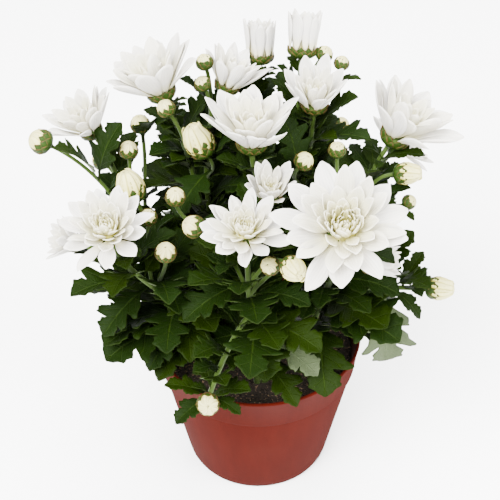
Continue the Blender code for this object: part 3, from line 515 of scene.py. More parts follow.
class Paint:
    """One material and its nodes."""

    def __init__(self, name, **fixed):
        self.material = bpy.data.materials.new(name)
        self.material.use_nodes = True
        self.tree = self.material.node_tree
        self.surface = self.tree.nodes["Principled BSDF"]
        for socket, value in fixed.items():
            self.surface.inputs[socket.replace("_", " ")].default_value = value

    def node(self, kind, settings, inputs, output=0):
        made = self.tree.nodes.new(kind)
        for name, value in settings.items():
            setattr(made, name, value)
        for key, value in inputs.items():
            self.feed(made.inputs[key], value)
        return Value(self, made.outputs[output])

    def feed(self, socket, value):
        if isinstance(value, Value):
            self.tree.links.new(value.socket, socket)
        else:
            socket.default_value = value

    def set(self, **inputs):
        for name, value in inputs.items():
            self.feed(self.surface.inputs[name.replace("_", " ")], value)

    def place(self, stretch=(1, 1, 1)):
        """The point on the object, stretched."""
        where = self.node("ShaderNodeTexCoord", {}, {}, "Object")
        return self.node("ShaderNodeMapping", {}, {"Vector": where, "Scale": stretch})

    def noise(self, scale, detail=3.0, stretch=(1, 1, 1)):
        inputs = {"Vector": self.place(stretch), "Scale": scale, "Detail": detail}
        return self.node("ShaderNodeTexNoise", {}, inputs)

    def across_and_along(self):
        """How far across and along its own blade the point lies, each from 0 to 1."""
        uv = self.node("ShaderNodeUVMap", {"uv_map": "blade"}, {})
        split = self.node("ShaderNodeSeparateXYZ", {}, {"Vector": uv})
        return split, Value(self, split.socket.node.outputs["Y"])

    def tone(self):
        return self.node("ShaderNodeAttribute", {"attribute_name": "tone"}, {}, "Fac")

    def step(self, value, low, high):
        """0 below low and 1 above high, with a smooth rise between."""
        inputs = {"Value": value, "From Min": low, "From Max": high}
        return self.node("ShaderNodeMapRange", {"interpolation_type": "SMOOTHSTEP"}, inputs)

    def mix(self, factor, first, second):
        inputs = {0: factor, 6: self.full(first), 7: self.full(second)}
        return self.node("ShaderNodeMix", {"data_type": "RGBA"}, inputs, 2)

    def full(self, colour):
        return colour if isinstance(colour, Value) else (*colour, 1)

    def bump(self, height, distance, strength=1.0):
        inputs = {"Height": height, "Distance": distance, "Strength": strength}
        self.set(Normal=self.node("ShaderNodeBump", {}, inputs))


def toned(colour, level):
    return tuple(level * c for c in colour)


def plastic_material(settings):
    """Moulded terracotta plastic, satin, with faint upright streaks and dusty patches."""
    paint = Paint("terracotta_plastic", Specular_IOR_Level=0.0, Sheen_Weight=0.02)
    streaks = paint.noise(170, 3, (1, 1, 0.03))
    dust = paint.step(paint.noise(38, 5), 0.45, 0.75)
    plastic = paint.mix(streaks, toned(settings.plastic, 0.84), toned(settings.plastic, 1.18))
    paint.set(Base_Color=paint.mix(dust * 0.10, plastic, DUST))
    paint.set(Roughness=streaks * 0.16 + 0.40)
    paint.bump(paint.noise(900, 2) * 0.5 + streaks, 0.0002, 0.35)
    return paint.material


def peat_material(settings):
    """Dark peat with tan specks of bark."""
    paint = Paint("peat", Roughness=0.95, Specular_IOR_Level=0.2)
    specks = paint.step(paint.noise(620, 4), 0.56, 0.66)
    lumps = paint.noise(150, 5)
    dark = paint.mix(lumps, toned(settings.peat, 0.5), toned(settings.peat, 2.0))
    paint.set(Base_Color=paint.mix(specks * 0.55, dark, BARK))
    paint.bump(lumps + specks, 0.0012, 0.8)
    return paint.material


def stem_material(settings):
    """Green stems with fine down and a little variation."""
    paint = Paint("stem_green", Roughness=0.6, Specular_IOR_Level=0.1, Sheen_Weight=0.05)
    patches = paint.noise(90, 3, (1, 1, 0.4))
    fuzz = paint.noise(1500, 2, (1, 1, 0.3))
    deep = toned(settings.green, 0.65)
    paint.set(Base_Color=paint.mix(patches, deep, toned(settings.green, 1.25)))
    paint.bump(fuzz, 0.0003, 0.6)
    return paint.material


def scale_material(settings):
    """Calyx scales: green, with a dry tan-brown edge and a painted highlight down the raised middle of
    each.
    """
    paint = Paint("calyx_scale", Roughness=0.6, Specular_IOR_Level=0.1)
    across, along = paint.across_and_along()
    edge = paint.step(abs(across * 2 - 1) * 0.5 + along * 0.75 + paint.noise(700, 2) * 0.25, 1.00, 1.25)
    middle = 1 - paint.step(abs(across * 2 - 1), 0.0, 0.5)
    # Paler green down the raised middle of each scale: a painted highlight along its ridge.
    green = paint.mix(middle * 0.5, settings.scale_green, toned(settings.scale_green, 1.6))
    paint.set(Base_Color=paint.mix(edge, green, settings.scale_brown))
    paint.bump(middle, 0.0002, 0.5)
    return paint.material


def vein_masks(paint, across, along):
    """How strongly the midrib, the side veins and the fine net show."""
    off = abs(across * 2 - 1)
    midrib = 1 - paint.step(off + along * 0.02, 0.02, 0.09)
    slant = along - off * 0.10
    sides = (slant * 7.5).math("PINGPONG", 0.5)
    side_veins = (1 - paint.step(sides, 0.015, 0.075)) * (1 - paint.step(off, 0.55, 1.0))
    net_settings = {"feature": "DISTANCE_TO_EDGE"}
    net = paint.node("ShaderNodeTexVoronoi", net_settings, {"Vector": paint.place(), "Scale": 420})
    return midrib, side_veins, 1 - paint.step(net, 0.0, 0.12)


def leaf_material(settings):
    """The upper side of a leaf: dark green, with lighter veins and quilting between them."""
    paint = Paint("leaf_green", Specular_IOR_Level=0.03)
    across, along = paint.across_and_along()
    midrib, side_veins, net = vein_masks(paint, across, along)
    base = paint.mix(paint.tone(), settings.dark, settings.bright)
    mottled = paint.mix(paint.noise(130, 4) * 0.5, base, toned(settings.dark, 0.4))
    veins = (midrib * 0.50 + side_veins * 0.22 + net * 0.04).math("MINIMUM", 1.0)
    paint.set(Base_Color=paint.mix(veins, mottled, settings.vein))
    paint.set(Roughness=paint.noise(200, 2) * 0.2 + 0.48)
    paint.bump(0 - midrib * 0.9 - side_veins * 0.8 - net * 0.15, 0.0007, 0.7)
    return paint.material


def underside_material(settings):
    """The underside of a leaf: pale and matt, with raised veins."""
    paint = Paint("leaf_underside", Roughness=0.8, Specular_IOR_Level=0.2)
    across, along = paint.across_and_along()
    midrib, side_veins, net = vein_masks(paint, across, along)
    mottled = paint.mix(paint.noise(200, 4), toned(settings.underside, 0.75), settings.underside)
    veins = (midrib * 0.6 + side_veins * 0.4).math("MINIMUM", 1.0)
    paint.set(Base_Color=paint.mix(veins, mottled, toned(settings.underside, 1.3)))
    paint.bump(midrib + side_veins * 0.7 + net * 0.2, 0.0006, 0.7)
    return paint.material


def leaf_edge_material(settings):
    """The thin pale line round a leaf."""
    paint = Paint("leaf_edge", Roughness=0.8, Specular_IOR_Level=0.0)
    pale = toned(settings.underside, 0.20)
    paint.set(Base_Color=paint.mix(paint.noise(250, 2), pale, toned(settings.vein, 0.7)))
    return paint.material


def petal_material(settings):
    """White petals with fine lengthwise veins, creamy towards the root and in the heart, and darker
    yellow-green low in the heart: partly its own colour, partly painted shade.
    """
    paint = Paint("petal_white", Roughness=0.5, Subsurface_Weight=0.3, Subsurface_Scale=0.002,
                  Subsurface_Radius=(1.0, 0.95, 0.8), Specular_IOR_Level=0.3)
    across, along = paint.across_and_along()
    heart = paint.tone()
    veins = (across * 44).math("SINE") * 0.5 + 0.5
    root = 1 - paint.step(along, 0.0, 0.45)
    cream = (root * 0.5 + heart * (1 - paint.step(along, 0.6, 1.0) * 0.5)).math("MINIMUM", 1.0)
    white = paint.mix(veins * 0.3, settings.white, toned(settings.white, 0.72))
    body = paint.mix(cream, white, settings.cream)
    # Low on the florets and inner petals the colour turns darker yellow-green: partly the heart's own
    # colour, partly painted shade between the florets.
    low = 1 - paint.step(along, 0.1, 0.95)
    paint.set(Base_Color=paint.mix(heart * low * 0.9, body, settings.line))
    paint.bump(veins, 0.00025, 0.35)
    return paint.material


def bud_material(settings):
    """A closed bud's petals: creamy white, with yellow-green lines along their edges."""
    paint = Paint("bud_cream", Roughness=0.5, Subsurface_Weight=0.2, Subsurface_Scale=0.002,
                  Subsurface_Radius=(1.0, 0.95, 0.7), Specular_IOR_Level=0.2)
    across, along = paint.across_and_along()
    edge = paint.step(abs(across * 2 - 1) + paint.noise(500, 2) * 0.2, 0.66, 1.00)
    low = 1 - paint.step(along, 0.30, 0.75)
    veins = (across * 30).math("SINE") * 0.5 + 0.5
    pale = paint.mix(0.75, settings.white, settings.cream)
    body = paint.mix((low * 0.5 + veins * 0.12).math("MINIMUM", 1.0), pale, settings.cream)
    paint.set(Base_Color=paint.mix(edge * (0.50 + low * 0.4), body, settings.line))
    paint.bump(veins, 0.0002, 0.3)
    return paint.material


def floor_material(settings):
    paint = Paint("pale_floor", Roughness=0.9, Specular_IOR_Level=0.1)
    shade = toned(settings.floor, 0.985)
    paint.set(Base_Color=paint.mix(paint.noise(3, 2), shade, tuple(settings.floor)))
    return paint.material


def add_piece(name, bm, materials, nodes, thickness=0.0):
    """Makes a finished piece from a bmesh, with thickness for its blades, in place of the nodes."""
    mesh = bpy.data.meshes.new(name)
    bm.to_mesh(mesh)
    bm.free()
    mesh.shade_smooth()
    obj = bpy.data.objects.new(name, mesh)
    bpy.context.scene.collection.objects.link(obj)
    for material in materials:
        mesh.materials.append(material)
    if thickness:
        solid = obj.modifiers.new("thickness", "SOLIDIFY")
        solid.thickness = thickness
        solid.offset = 0
        if len(materials) > 1:
            solid.material_offset = 1
            solid.material_offset_rim = 2
    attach(obj, "root")
    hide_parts(*nodes)
    return obj


def add_foliage(cutting, what, bm, materials, thickness=0.0):
    nodes = [f"{cutting}_leafy_stem"]
    add_piece(f"{cutting}_{what}", bm, materials, nodes, thickness)


def new_blades():
    """An empty bmesh for blades: a UV map that says where on its blade a point is, and a tone."""
    bm = bmesh.new()
    bm.loops.layers.uv.new("blade")
    bm.verts.layers.float.new("tone")
    return bm


def add_blade(bm, columns, rows, place, tone=0.0):
    """A grid whose points go to place(across, along), from -1 to 1 across and from 0 to 1 along."""
    grid = bmesh.ops.create_grid(bm, x_segments=columns, y_segments=rows, size=1, calc_uvs=True)
    shade = bm.verts.layers.float["tone"]
    for vert in grid["verts"]:
        vert[shade] = tone
        vert.co = place(vert.co.x, (vert.co.y + 1) / 2)


def order_key(part):
    if isinstance(part, bmesh.types.BMVert):
        return part.co[:]
    return sorted(vert.index for vert in part.verts)


def put_in_order(bm):
    """Sorts a mesh's parts by place, because a spin leaves them in another order on each run."""
    for parts in (bm.verts, bm.edges, bm.faces):
        for i, part in enumerate(sorted(parts, key=order_key)):
            part.index = i
        parts.sort()
        parts.index_update()


def turned(profile, steps):
    """A closed solid turned about Z from (radius, height) points that start and end on the axis."""
    bm = bmesh.new()
    verts = [bm.verts.new((radius, 0, height)) for radius, height in profile]
    edges = [bm.edges.new(pair) for pair in zip(verts, verts[1:])]
    bmesh.ops.spin(bm, geom=verts + edges, cent=(0, 0, 0), axis=(0, 0, 1), angle=2 * math.pi,
                   steps=steps, use_merge=True)
    bmesh.ops.remove_doubles(bm, verts=bm.verts, dist=1e-6)
    bmesh.ops.recalc_face_normals(bm, faces=bm.faces)
    put_in_order(bm)
    return bm


def sweep(bm, points, radius, taper):
    """A ribbed stem along a path: the end of a short cone, extruded from point to point."""
    tangents = [(b - a).normalized() for a, b in zip(points, points[1:])]
    turn = Vector((0, 0, 1)).rotation_difference(tangents[0]).to_matrix().to_4x4()
    cone = bmesh.ops.create_cone(bm, cap_ends=True, segments=STEM_SIDES, radius1=radius, radius2=radius,
                                 depth=radius * 0.1)
    for vert in cone["verts"]:
        k = round(math.atan2(vert.co.y, vert.co.x) * STEM_SIDES / (2 * math.pi))
        vert.co.xy *= 1 - STEM_RIBS * (k % 2)
    bmesh.ops.transform(bm, matrix=Matrix.Translation(points[0]) @ turn, verts=cone["verts"])
    end = max({f for v in cone["verts"] for f in v.link_faces},
              key=lambda f: (f.calc_center_median() - points[0]).dot(tangents[0]) + len(f.verts))
    shrink = taper ** (1 / len(tangents))
    for i, point in enumerate(points[1:]):
        end = bmesh.ops.extrude_discrete_faces(bm, faces=[end])["faces"][0]
        centre = end.calc_center_median()
        onward = tangents[min(i + 1, len(tangents) - 1)]
        bend = tangents[i].rotation_difference(onward).to_matrix().to_4x4()
        move = Matrix.Translation(point) @ bend @ Matrix.Scale(shrink, 4) @ Matrix.Translation(-centre)
        bmesh.ops.transform(bm, matrix=move, verts=end.verts)


def around(radius, turn, height):
    return Vector((radius * math.cos(turn), radius * math.sin(turn), height))


def bezier(controls, count):
    start, leave, arrive, end = controls
    points = []
    for i in range(count + 1):
        t = i / count
        s = 1 - t
        points.append(start * s**3 + leave * (3 * s * s * t) + arrive * (3 * s * t * t) + end * t**3)
    return points


def point_along(points, share):
    """The point and the direction at this share of a polyline's steps."""
    place = share * (len(points) - 1)
    i = min(int(place), len(points) - 2)
    return points[i].lerp(points[i + 1], place - i), (points[i + 1] - points[i]).normalized()


def nearest_point(paths, target):
    shares = [i / STEM_POINTS for i in range(2, STEM_POINTS - 1)]
    samples = [point_along(path, share)[0] for path in paths for share in shares]
    return min(samples, key=lambda p: (p - target).length)


def head_frame(head):
    """A matrix that puts a head drawn at the origin, facing up, in its place."""
    z = Vector(head.facing).normalized()
    x = Vector((0, 0, 1)) - z * z.z
    x = x.normalized() if x.length > 0.05 else z.orthogonal().normalized()
    return Matrix.Translation(head.place) @ Matrix((x, z.cross(x), z)).transposed().to_4x4()


def heads_of(cutting):
    return [head for head in HEADS if head.cutting == cutting]


def stem_controls():
    """The curves of each cutting's main stem, and of each head's shoot or stalk, with their steps."""
    mains, shoots = {}, {}
    for name, cutting in CUTTINGS.items():
        foot, crown = Vector((*cutting.foot, ROOTED_AT)), Vector(cutting.crown)
        leave = foot + Vector((0, 0, 0.5 * (crown.z - foot.z)))
        arrive = crown.lerp(leave, BEND) + (crown - foot) * 0.05
        mains[name] = ((foot, leave, arrive, crown), 4)
    for head in HEADS:
        facing = Vector(head.facing).normalized()
        end = Vector(head.place) - facing * (KINDS[head.kind].depth * head.span / 2)
        if head.parent is None:
            stem, share = mains[head.cutting], CROWN_SHARE
        else:
            stem, share = shoots[f"{head.cutting}_{head.parent}"], head.share
        start, along = point_along(bezier(*stem), share)
        stretch = (end - start).length
        leave = start + (along + (end - start).normalized()).normalized() * (BEND * stretch)
        arrive = end - facing * (BEND * stretch)
        shoots[head.name] = ((start, leave, arrive, end), 4 if head.parent is None else 3)
    return mains, shoots


def leaf_axes(base, tip, roll):
    """A leaf's chord, and the directions along it, across it and out of its upper side."""
    chord = tip - base
    along = chord.normalized()
    side = along.cross(Vector((0, 0, 1)))
    side = side.normalized() if side.length > 0.1 else Vector((1, 0, 0))
    side.rotate(Quaternion(along, math.radians(roll)))
    return chord, along, side, side.cross(along)


def solid_edge(base, tip, width, roll, lobes):
    """The points on the edge of the leaf's solid, where the solid's mesh has its corners."""
    chord, along, side, face = leaf_axes(base, tip, roll)
    length = chord.length
    points = [tip]
    for share, half, sweep_forward in lobes[1:-1]:
        middle = base + chord * share + face * (LEAF_ARCH * length * 4 * share * (1 - share))
        reach = half * width * length
        lift = along * (sweep_forward * length) + face * (LEAF_FOLD * reach)
        points += [middle - side * reach + lift, middle + side * reach + lift]
    return points


def tried_tips(base, tip):
    """The tip, then the tip turned about the base and lifted, in the order of TRIES."""
    chord = tip - base
    level = Vector((-chord.y, chord.x, 0))
    level = level.normalized() if level.length > 1e-6 else Vector((1, 0, 0))
    for turn, lift in TRIES:
        arm = chord.copy()
        arm.rotate(Quaternion(level, math.radians(-lift)))
        arm.rotate(Quaternion((0, 0, 1), math.radians(turn)))
        yield base + arm


def leaf_by_rule(cutting, base, bearing, length, rise, chance):
    turn, lift = math.radians(bearing), math.radians(rise + chance.uniform(-RISE_PLAY, RISE_PLAY))
    way = around(math.cos(lift), turn, math.sin(lift))
    reach = length * chance.uniform(0.88, 1.12)
    width, roll = chance.uniform(0.9, 1.1), chance.uniform(-ROLL_PLAY, ROLL_PLAY)
    return cutting, base, base + way * reach, width, roll, False


def planned_leaves():
    """The solids' leaves as (cutting, base, tip, width, roll, over), those listed one by one first."""
    main_controls, shoot_controls = stem_controls()
    mains = {name: bezier(*controls) for name, controls in main_controls.items()}
    shoots = {name: bezier(*controls) for name, controls in shoot_controls.items()}
    planned = []
    for cutting, leaves in LEAVES.items():
        paths = [mains[cutting]] + [shoots[head.name] for head in heads_of(cutting)]
        for leaf in leaves:
            base = nearest_point(paths, Vector(leaf.near))
            planned.append((cutting, base, Vector(leaf.tip), leaf.width, leaf.roll, leaf.over))
    chance = random.Random(SEED)
    for name, path in mains.items():
        outward = math.degrees(math.atan2(path[-1].y, path[-1].x))
        for k, (share, length) in enumerate(MAIN_LEAVES):
            base, _ = point_along(path, share)
            bearing = outward + (k - 1) * 0.5 * GOLDEN_ANGLE
            bearing += chance.uniform(-BEARING_PLAY, BEARING_PLAY)
            planned.append(leaf_by_rule(name, base, bearing, length, MAIN_RISE, chance))
    bearing = 0
    for head in HEADS:
        if head.parent is not None:
            continue
        for share, length in SHOOT_LEAVES:
            base, _ = point_along(shoots[head.name], share)
            bearing += GOLDEN_ANGLE
            planned.append(leaf_by_rule(head.cutting, base, bearing, length, SHOOT_RISE, chance))
    return planned


def outline_of(length):
    if length > LARGE_LEAF:
        return THREE_LOBED
    return TWO_LOBED if length > SMALL_LEAF else PLAIN


def corners_of(node):
    """A search tree of the corners of a solid's mesh."""
    corners = [vert.co for vert in frame["nodes"][node].data.vertices]
    tree = KDTree(len(corners))
    for i, corner in enumerate(corners):
        tree.insert(corner, i)
    tree.balance()
    return tree


def grown_leaves(cutting):
    """The cutting's leaves as (base, tip, width, roll, over), with the tips that its solid has."""
    corners = corners_of(cutting + "_leafy_stem")
    grown = []
    for owner, base, tip, width, roll, over in planned_leaves():
        if owner != cutting:
            continue
        lobes = outline_of((tip - base).length)
        for place in tried_tips(base, tip):
            edge = solid_edge(base, place, width, roll, lobes)
            if all(corners.find(point)[2] < PLAN_GAP for point in edge):
                grown.append((base, place, width, roll, over))
                break
    return grown


def outline_at(lobes, share):
    """A leaf's half width and forward sweep at this share: round lobes with narrow bays between."""
    for low, high in zip(lobes, lobes[1:]):
        if share <= high[0]:
            break
    part = (share - low[0]) / (high[0] - low[0])
    bend = 1 - (1 - part) ** 2 if high[1] > low[1] else part ** (2 if high[1] else 1.4)
    return low[1] + (high[1] - low[1]) * bend, low[2] + (high[2] - low[2]) * bend


def leaf_surface(settings, leaf, chance, droop):
    """Where a leaf's points go: lobed, toothed, folded up along its midrib and wavy at its edge."""
    base, tip, width, roll, over = leaf
    chord, along, side, face = leaf_axes(base, tip, roll)
    length = chord.length
    lobes = DRAWN[outline_of(length)]
    hand = -1 if over else 1
    phase = chance.uniform(0, 2 * math.pi)

    def place(across, share):
        half, sweep_forward = outline_at(lobes, share)
        tooth = math.sin(math.pi * ((share * LEAF_TEETH) % 1) ** 1.6)
        half += settings.tooth * min(1, half / FULL_TEETH_WIDTH) * tooth
        reach = max(PETIOLE_RADIUS, half * width * length)
        off = abs(across)
        wave = WAVE * length * half * off**2 * math.sin(WAVES * share + phase * across)
        rise = LEAF_ARCH * 4 * share * (1 - share) - droop * share**3
        lift = LEAF_FOLD * reach * off**1.4 + wave + length * rise
        point = base + chord * share + side * (hand * across * reach)
        return point + along * (sweep_forward * length * off) + face * lift

    return place


def free_part(place):
    """A coarse search tree of a leaf's blade, without the part next to its stem."""
    bm = new_blades()
    add_blade(bm, 2, 7, lambda across, along: place(across, FREE_FROM + (1 - FREE_FROM) * along))
    tree = BVHTree.FromBMesh(bm)
    bm.free()
    return tree


def filling_sites():
    """Where filling leaves may grow: cutting, stem, how far up it, their length, bearing and rise."""
    mains, shoots = stem_controls()
    sites = [(name, mains[name], *leaf, RIM_RISE) for name, leaves in RIM_LEAVES for leaf in leaves]
    bearing = 0
    for name in CUTTINGS:
        for late in range(FILL_ROUNDS[name]):
            stems = [(mains[name], MAIN_FILL, -1, MAIN_FILL_RISE)]
            for head in heads_of(name):
                fill = SHOOT_FILL if head.parent is None else STALK_FILL
                stems.append((shoots[head.name], fill, 1, SHOOT_FILL_RISE))
            for stem, fill, way, rise in stems:
                for share, length in fill:
                    bearing += GOLDEN_ANGLE
                    start, reach = share + FILL_STEP * late * way, length * FILL_SHRINK**late
                    sites.append((name, stem, start, reach, bearing, rise))
    return sites


def filling_leaves(settings, chance):
    """Leaves that fill the plant between those of the solids, where they're clear of all else."""
    solids = [node.data for node in frame["nodes"].values()]
    blocks = [BVHTree.FromPolygons([v.co for v in mesh.vertices], [p.vertices for p in mesh.polygons])
              for mesh in solids]
    for name, controls, share, length, bearing, rise in filling_sites():
        base, _ = point_along(bezier(*controls), share)
        for turn in FILL_TURNS:
            leaf = leaf_by_rule(name, base, bearing + turn, length, rise, chance)[1:]
            place = leaf_surface(settings, leaf, chance, chance.uniform(0.0, FILL_DROOP))
            tree = free_part(place)
            if leaf[1].z > FILL_LOWEST and not any(tree.overlap(block) for block in blocks):
                blocks.append(tree)
                yield name, place
                break


def closed_radius(closed, height):
    """A closed head's radius at this height."""
    if height > closed.wide:
        rise = (height - closed.wide) / (closed.top - closed.wide)
    else:
        rise = (1 - height / closed.wide) * math.sin(math.radians(LOWEST_ANGLE))
    return closed.radius * math.sqrt(max(0, 1 - rise * rise))


def cup_profile(name, share):
    """A calyx's radius and height at this share of its way up. Beyond 1 it wraps what it holds."""
    kind = KINDS[name]
    if share <= 1:
        return kind.calyx * math.sin(math.pi / 2 * share) ** 0.8, kind.depth * (share**1.5 - 1)
    height = kind.calyx * 0.8 * (share - 1)
    held = closed_radius(CLOSED[name], height) + 0.02 if name in CLOSED else 0
    return (held if height > 0.3 else max(kind.calyx, held)), height


def add_cup(bm, settings, head):
    """The green cup under a head, turned from its profile down to the stalk."""
    kind, half = KINDS[head.kind], head.span / 2
    rises = [i / 8 for i in range(1, 9)]
    rims = [cup_profile(head.kind, share) for share in rises]
    profile = [(0, -kind.depth * half * 1.2), (settings.stalk_radius, -kind.depth * half * 1.15)]
    profile += [(max(radius * half, settings.stalk_radius), height * half) for radius, height in rims]
    profile.append((0, 0))
    cup = turned(profile, CUP_STEPS)
    cup.transform(head_frame(head))
    mesh = bpy.data.meshes.new("cup")
    cup.to_mesh(mesh)
    cup.free()
    bm.from_mesh(mesh)
    bpy.data.meshes.remove(mesh)


def add_scales(bm, head, chance):
    """The overlapping scales of a calyx: rings of pointed blades that wrap its cup."""
    kind, half = KINDS[head.kind], head.span / 2
    matrix = head_frame(head)
    count = 8 if head.kind in CLOSED else 10
    reach = kind.reach + (GREEN_REACH if head.span < GREEN_SPAN else 0)
    for layer in range(kind.scales):
        low = LOWEST_SCALE_FOOT + SCALE_CLIMB * layer / kind.scales
        high = LOWEST_SCALE_TIP + (reach - LOWEST_SCALE_TIP) * (layer + 1) / kind.scales
        for k in range(count):
            bearing = 2 * math.pi * (k + layer / 2) / count + chance.uniform(-0.08, 0.08)
            top = high + chance.uniform(-0.06, 0.06)
            spread = chance.uniform(0.04, 0.12) if head.kind in ("open", "cup") else 0.03

            def place(across, along):
                share = low + (top - low) * along
                radius, height = cup_profile(head.kind, share)
                radius += kind.calyx * (0.04 + 0.02 * (kind.scales - layer) + spread * along**2)
                turn = bearing + across * BLADE_REACH * 2 * math.pi / count * max(0.08, (1 - along**3))
                return matrix @ (around(radius, turn, height) * half)

            add_blade(bm, 4, SCALE_ROWS, place)


Petal = namedtuple("Petal", "bearing root height length width lift curl hollow roll tone")


def petal_half(share):
    """A petal's half width at this share of its length, as a share of its greatest."""
    if share < PETAL_WIDEST:
        return 0.26 + 0.74 * math.sin(math.pi / 2 * share / PETAL_WIDEST) ** 1.3
    return max(0.10, (1 - ((share - PETAL_WIDEST) / (1 - PETAL_WIDEST)) ** 2) ** 0.75)


def add_petal(bm, matrix, petal, rows):
    """One petal: a hollow strap that rises from its root and curls on the way to its tip."""
    step = petal.length / rows
    out, up = petal.root, petal.height
    path = []
    for i in range(rows + 1):
        angle = math.radians(petal.lift + petal.curl * i / rows)
        path.append((out, up, angle))
        out += step * math.cos(angle)
        up += step * math.sin(angle)
    turn = Matrix.Rotation(petal.bearing, 4, "Z")

    def place(across, along):
        x, z, angle = path[round(along * rows)]
        half = petal.width / 2 * petal_half(along)
        sideways, deep = -across * half, petal.hollow * half * across * across
        roll = petal.roll * along
        sideways, deep = (sideways * math.cos(roll) - deep * math.sin(roll),
                          sideways * math.sin(roll) + deep * math.cos(roll))
        point = Vector((x - math.sin(angle) * deep, sideways, z + math.cos(angle) * deep))
        return matrix @ turn @ point

    add_blade(bm, PETAL_COLUMNS, rows, place, petal.tone)


def add_open_petals(bm, head, chance):
    """The rings of petals of an open or half-open head."""
    kind, half = KINDS[head.kind], head.span / 2
    matrix = head_frame(head)
    for layer, ring in enumerate(kind.rings):
        start = chance.uniform(0, 2 * math.pi)
        for k in range(ring.count):
            add_petal(bm, matrix, Petal(
                bearing=start + 2 * math.pi * (k + chance.uniform(-0.26, 0.26)) / ring.count,
                root=ring.root * half, height=ring.height * half,
                length=ring.length * half * chance.uniform(0.86, 1.06),
                width=ring.width * half * chance.uniform(0.88, 1.10),
                lift=ring.lift + kind.play * chance.uniform(-7, 7),
                curl=ring.curl + kind.play * chance.uniform(-12, 12),
                hollow=chance.uniform(0.25, 0.50), roll=kind.play * chance.uniform(-0.35, 0.35),
                tone=0.15 * layer), PETAL_ROWS)


def add_heart(bm, head, chance):
    """A head's heart: a spiral of short florets that curl in over its middle, on a small dome."""
    kind, half = KINDS[head.kind], head.span / 2
    matrix = head_frame(head)
    count, spread, length = kind.heart
    base = kind.rings[-1].height * half

    def dome(across, along):
        v = 2 * along - 1
        x, y = across * math.sqrt(1 - v * v / 2), v * math.sqrt(1 - across * across / 2)
        height = 0.5 * spread * half * (1 - x * x - y * y)
        return matrix @ Vector((x * spread * half * 1.25, y * spread * half * 1.25, base + height))

    add_blade(bm, 6, 6, dome, 1.0)
    for k in range(count):
        out = math.sqrt((k + 0.5) / count)
        add_petal(bm, matrix, Petal(
            bearing=math.radians(GOLDEN_ANGLE) * k, root=spread * half * out, height=base,
            length=length * half * (0.55 + 0.55 * out) * chance.uniform(0.85, 1.1),
            width=0.29 * length * half * (0.5 + 0.5 * out) * min(1, 0.5 / length + 0.3),
            lift=88 - 30 * out, curl=chance.uniform(15, 70), hollow=0.5,
            roll=chance.uniform(-0.4, 0.4), tone=1.0 - 0.4 * out), FLORET_ROWS)


def closed_profile(closed, share):
    """A closed head's radius and height at this share of the way round to its top."""
    angle = math.radians(LOWEST_ANGLE + (90 - LOWEST_ANGLE) * share)
    rise = math.sin(angle)
    if rise > 0:
        height = closed.wide + (closed.top - closed.wide) * rise
    else:
        height = closed.wide * (1 + rise / math.sin(math.radians(-LOWEST_ANGLE)))
    return closed.radius * math.cos(angle), height


def add_closed_petals(bm, head, chance):
    """The petals that wrap a closed head, each with one edge under its neighbour."""
    closed, half = CLOSED[head.kind], head.span / 2
    matrix = head_frame(head)
    for layer in range(2):
        for k in range(closed.petals):
            start = 2 * math.pi * (k + layer / 2) / closed.petals + chance.uniform(-0.1, 0.1)
            end = chance.uniform(0.93, 1.0) - 0.06 * layer
            loose = closed.loose * chance.uniform(0.0, 1.0) * layer

            def place(across, along):
                radius, height = closed_profile(closed, along * end)
                radius += closed.radius * (1 - 0.95 * along) * (0.05 * (across + 1) + 0.05 * layer)
                radius += closed.radius * loose * max(0, along - 0.7) * 3
                turn = start + math.radians(closed.twist) * along
                turn += across * BLADE_REACH * 2 * math.pi / closed.petals * (1.1 - 0.35 * along)
                return matrix @ (around(radius, turn, height) * half)

            add_blade(bm, PETAL_COLUMNS, PETAL_ROWS, place)


def pot_profile(settings):
    """The pot's section, from its floor's middle up the inside, over the rim and down the outside."""
    wall, lip = settings.wall, settings.lip
    corner = (WALL_FOOT_RADIUS + FOOT_RADIUS) / 2
    return (
        (0, FLOOR),
        (FOOT_RADIUS - wall, FLOOR),
        (WALL_FOOT_RADIUS - wall, CORNER_HEIGHT),
        (WALL_TOP_RADIUS - wall, COLLAR_FOOT),
        (RIM_RADIUS - wall - 2 * lip, POT_HEIGHT - 3 * lip),
        (RIM_RADIUS - wall - lip, POT_HEIGHT - lip),
        (RIM_RADIUS - wall, POT_HEIGHT),
        (RIM_RADIUS - lip, POT_HEIGHT),
        (RIM_RADIUS, POT_HEIGHT - lip),
        (RIM_RADIUS, POT_HEIGHT - 3 * lip),
        (RIM_RADIUS - lip, POT_HEIGHT - 4 * lip),
        (COLLAR_FOOT_RADIUS + 0.0002, COLLAR_FOOT + 2 * lip),
        (COLLAR_FOOT_RADIUS, COLLAR_FOOT + lip),
        (COLLAR_FOOT_RADIUS - lip, COLLAR_FOOT),
        (WALL_TOP_RADIUS, COLLAR_FOOT - 0.0004),
        (WALL_TOP_RADIUS - 0.0001, COLLAR_FOOT - 0.0012),
        (WALL_FOOT_RADIUS, CORNER_HEIGHT),
        (WALL_FOOT_RADIUS - 0.0006, CORNER_HEIGHT * 0.55),
        (corner + 0.0007, 0.0014),
        (corner - 0.0006, 0.0003),
        (FOOT_RADIUS - 0.001, 0),
        (0, 0),
    )


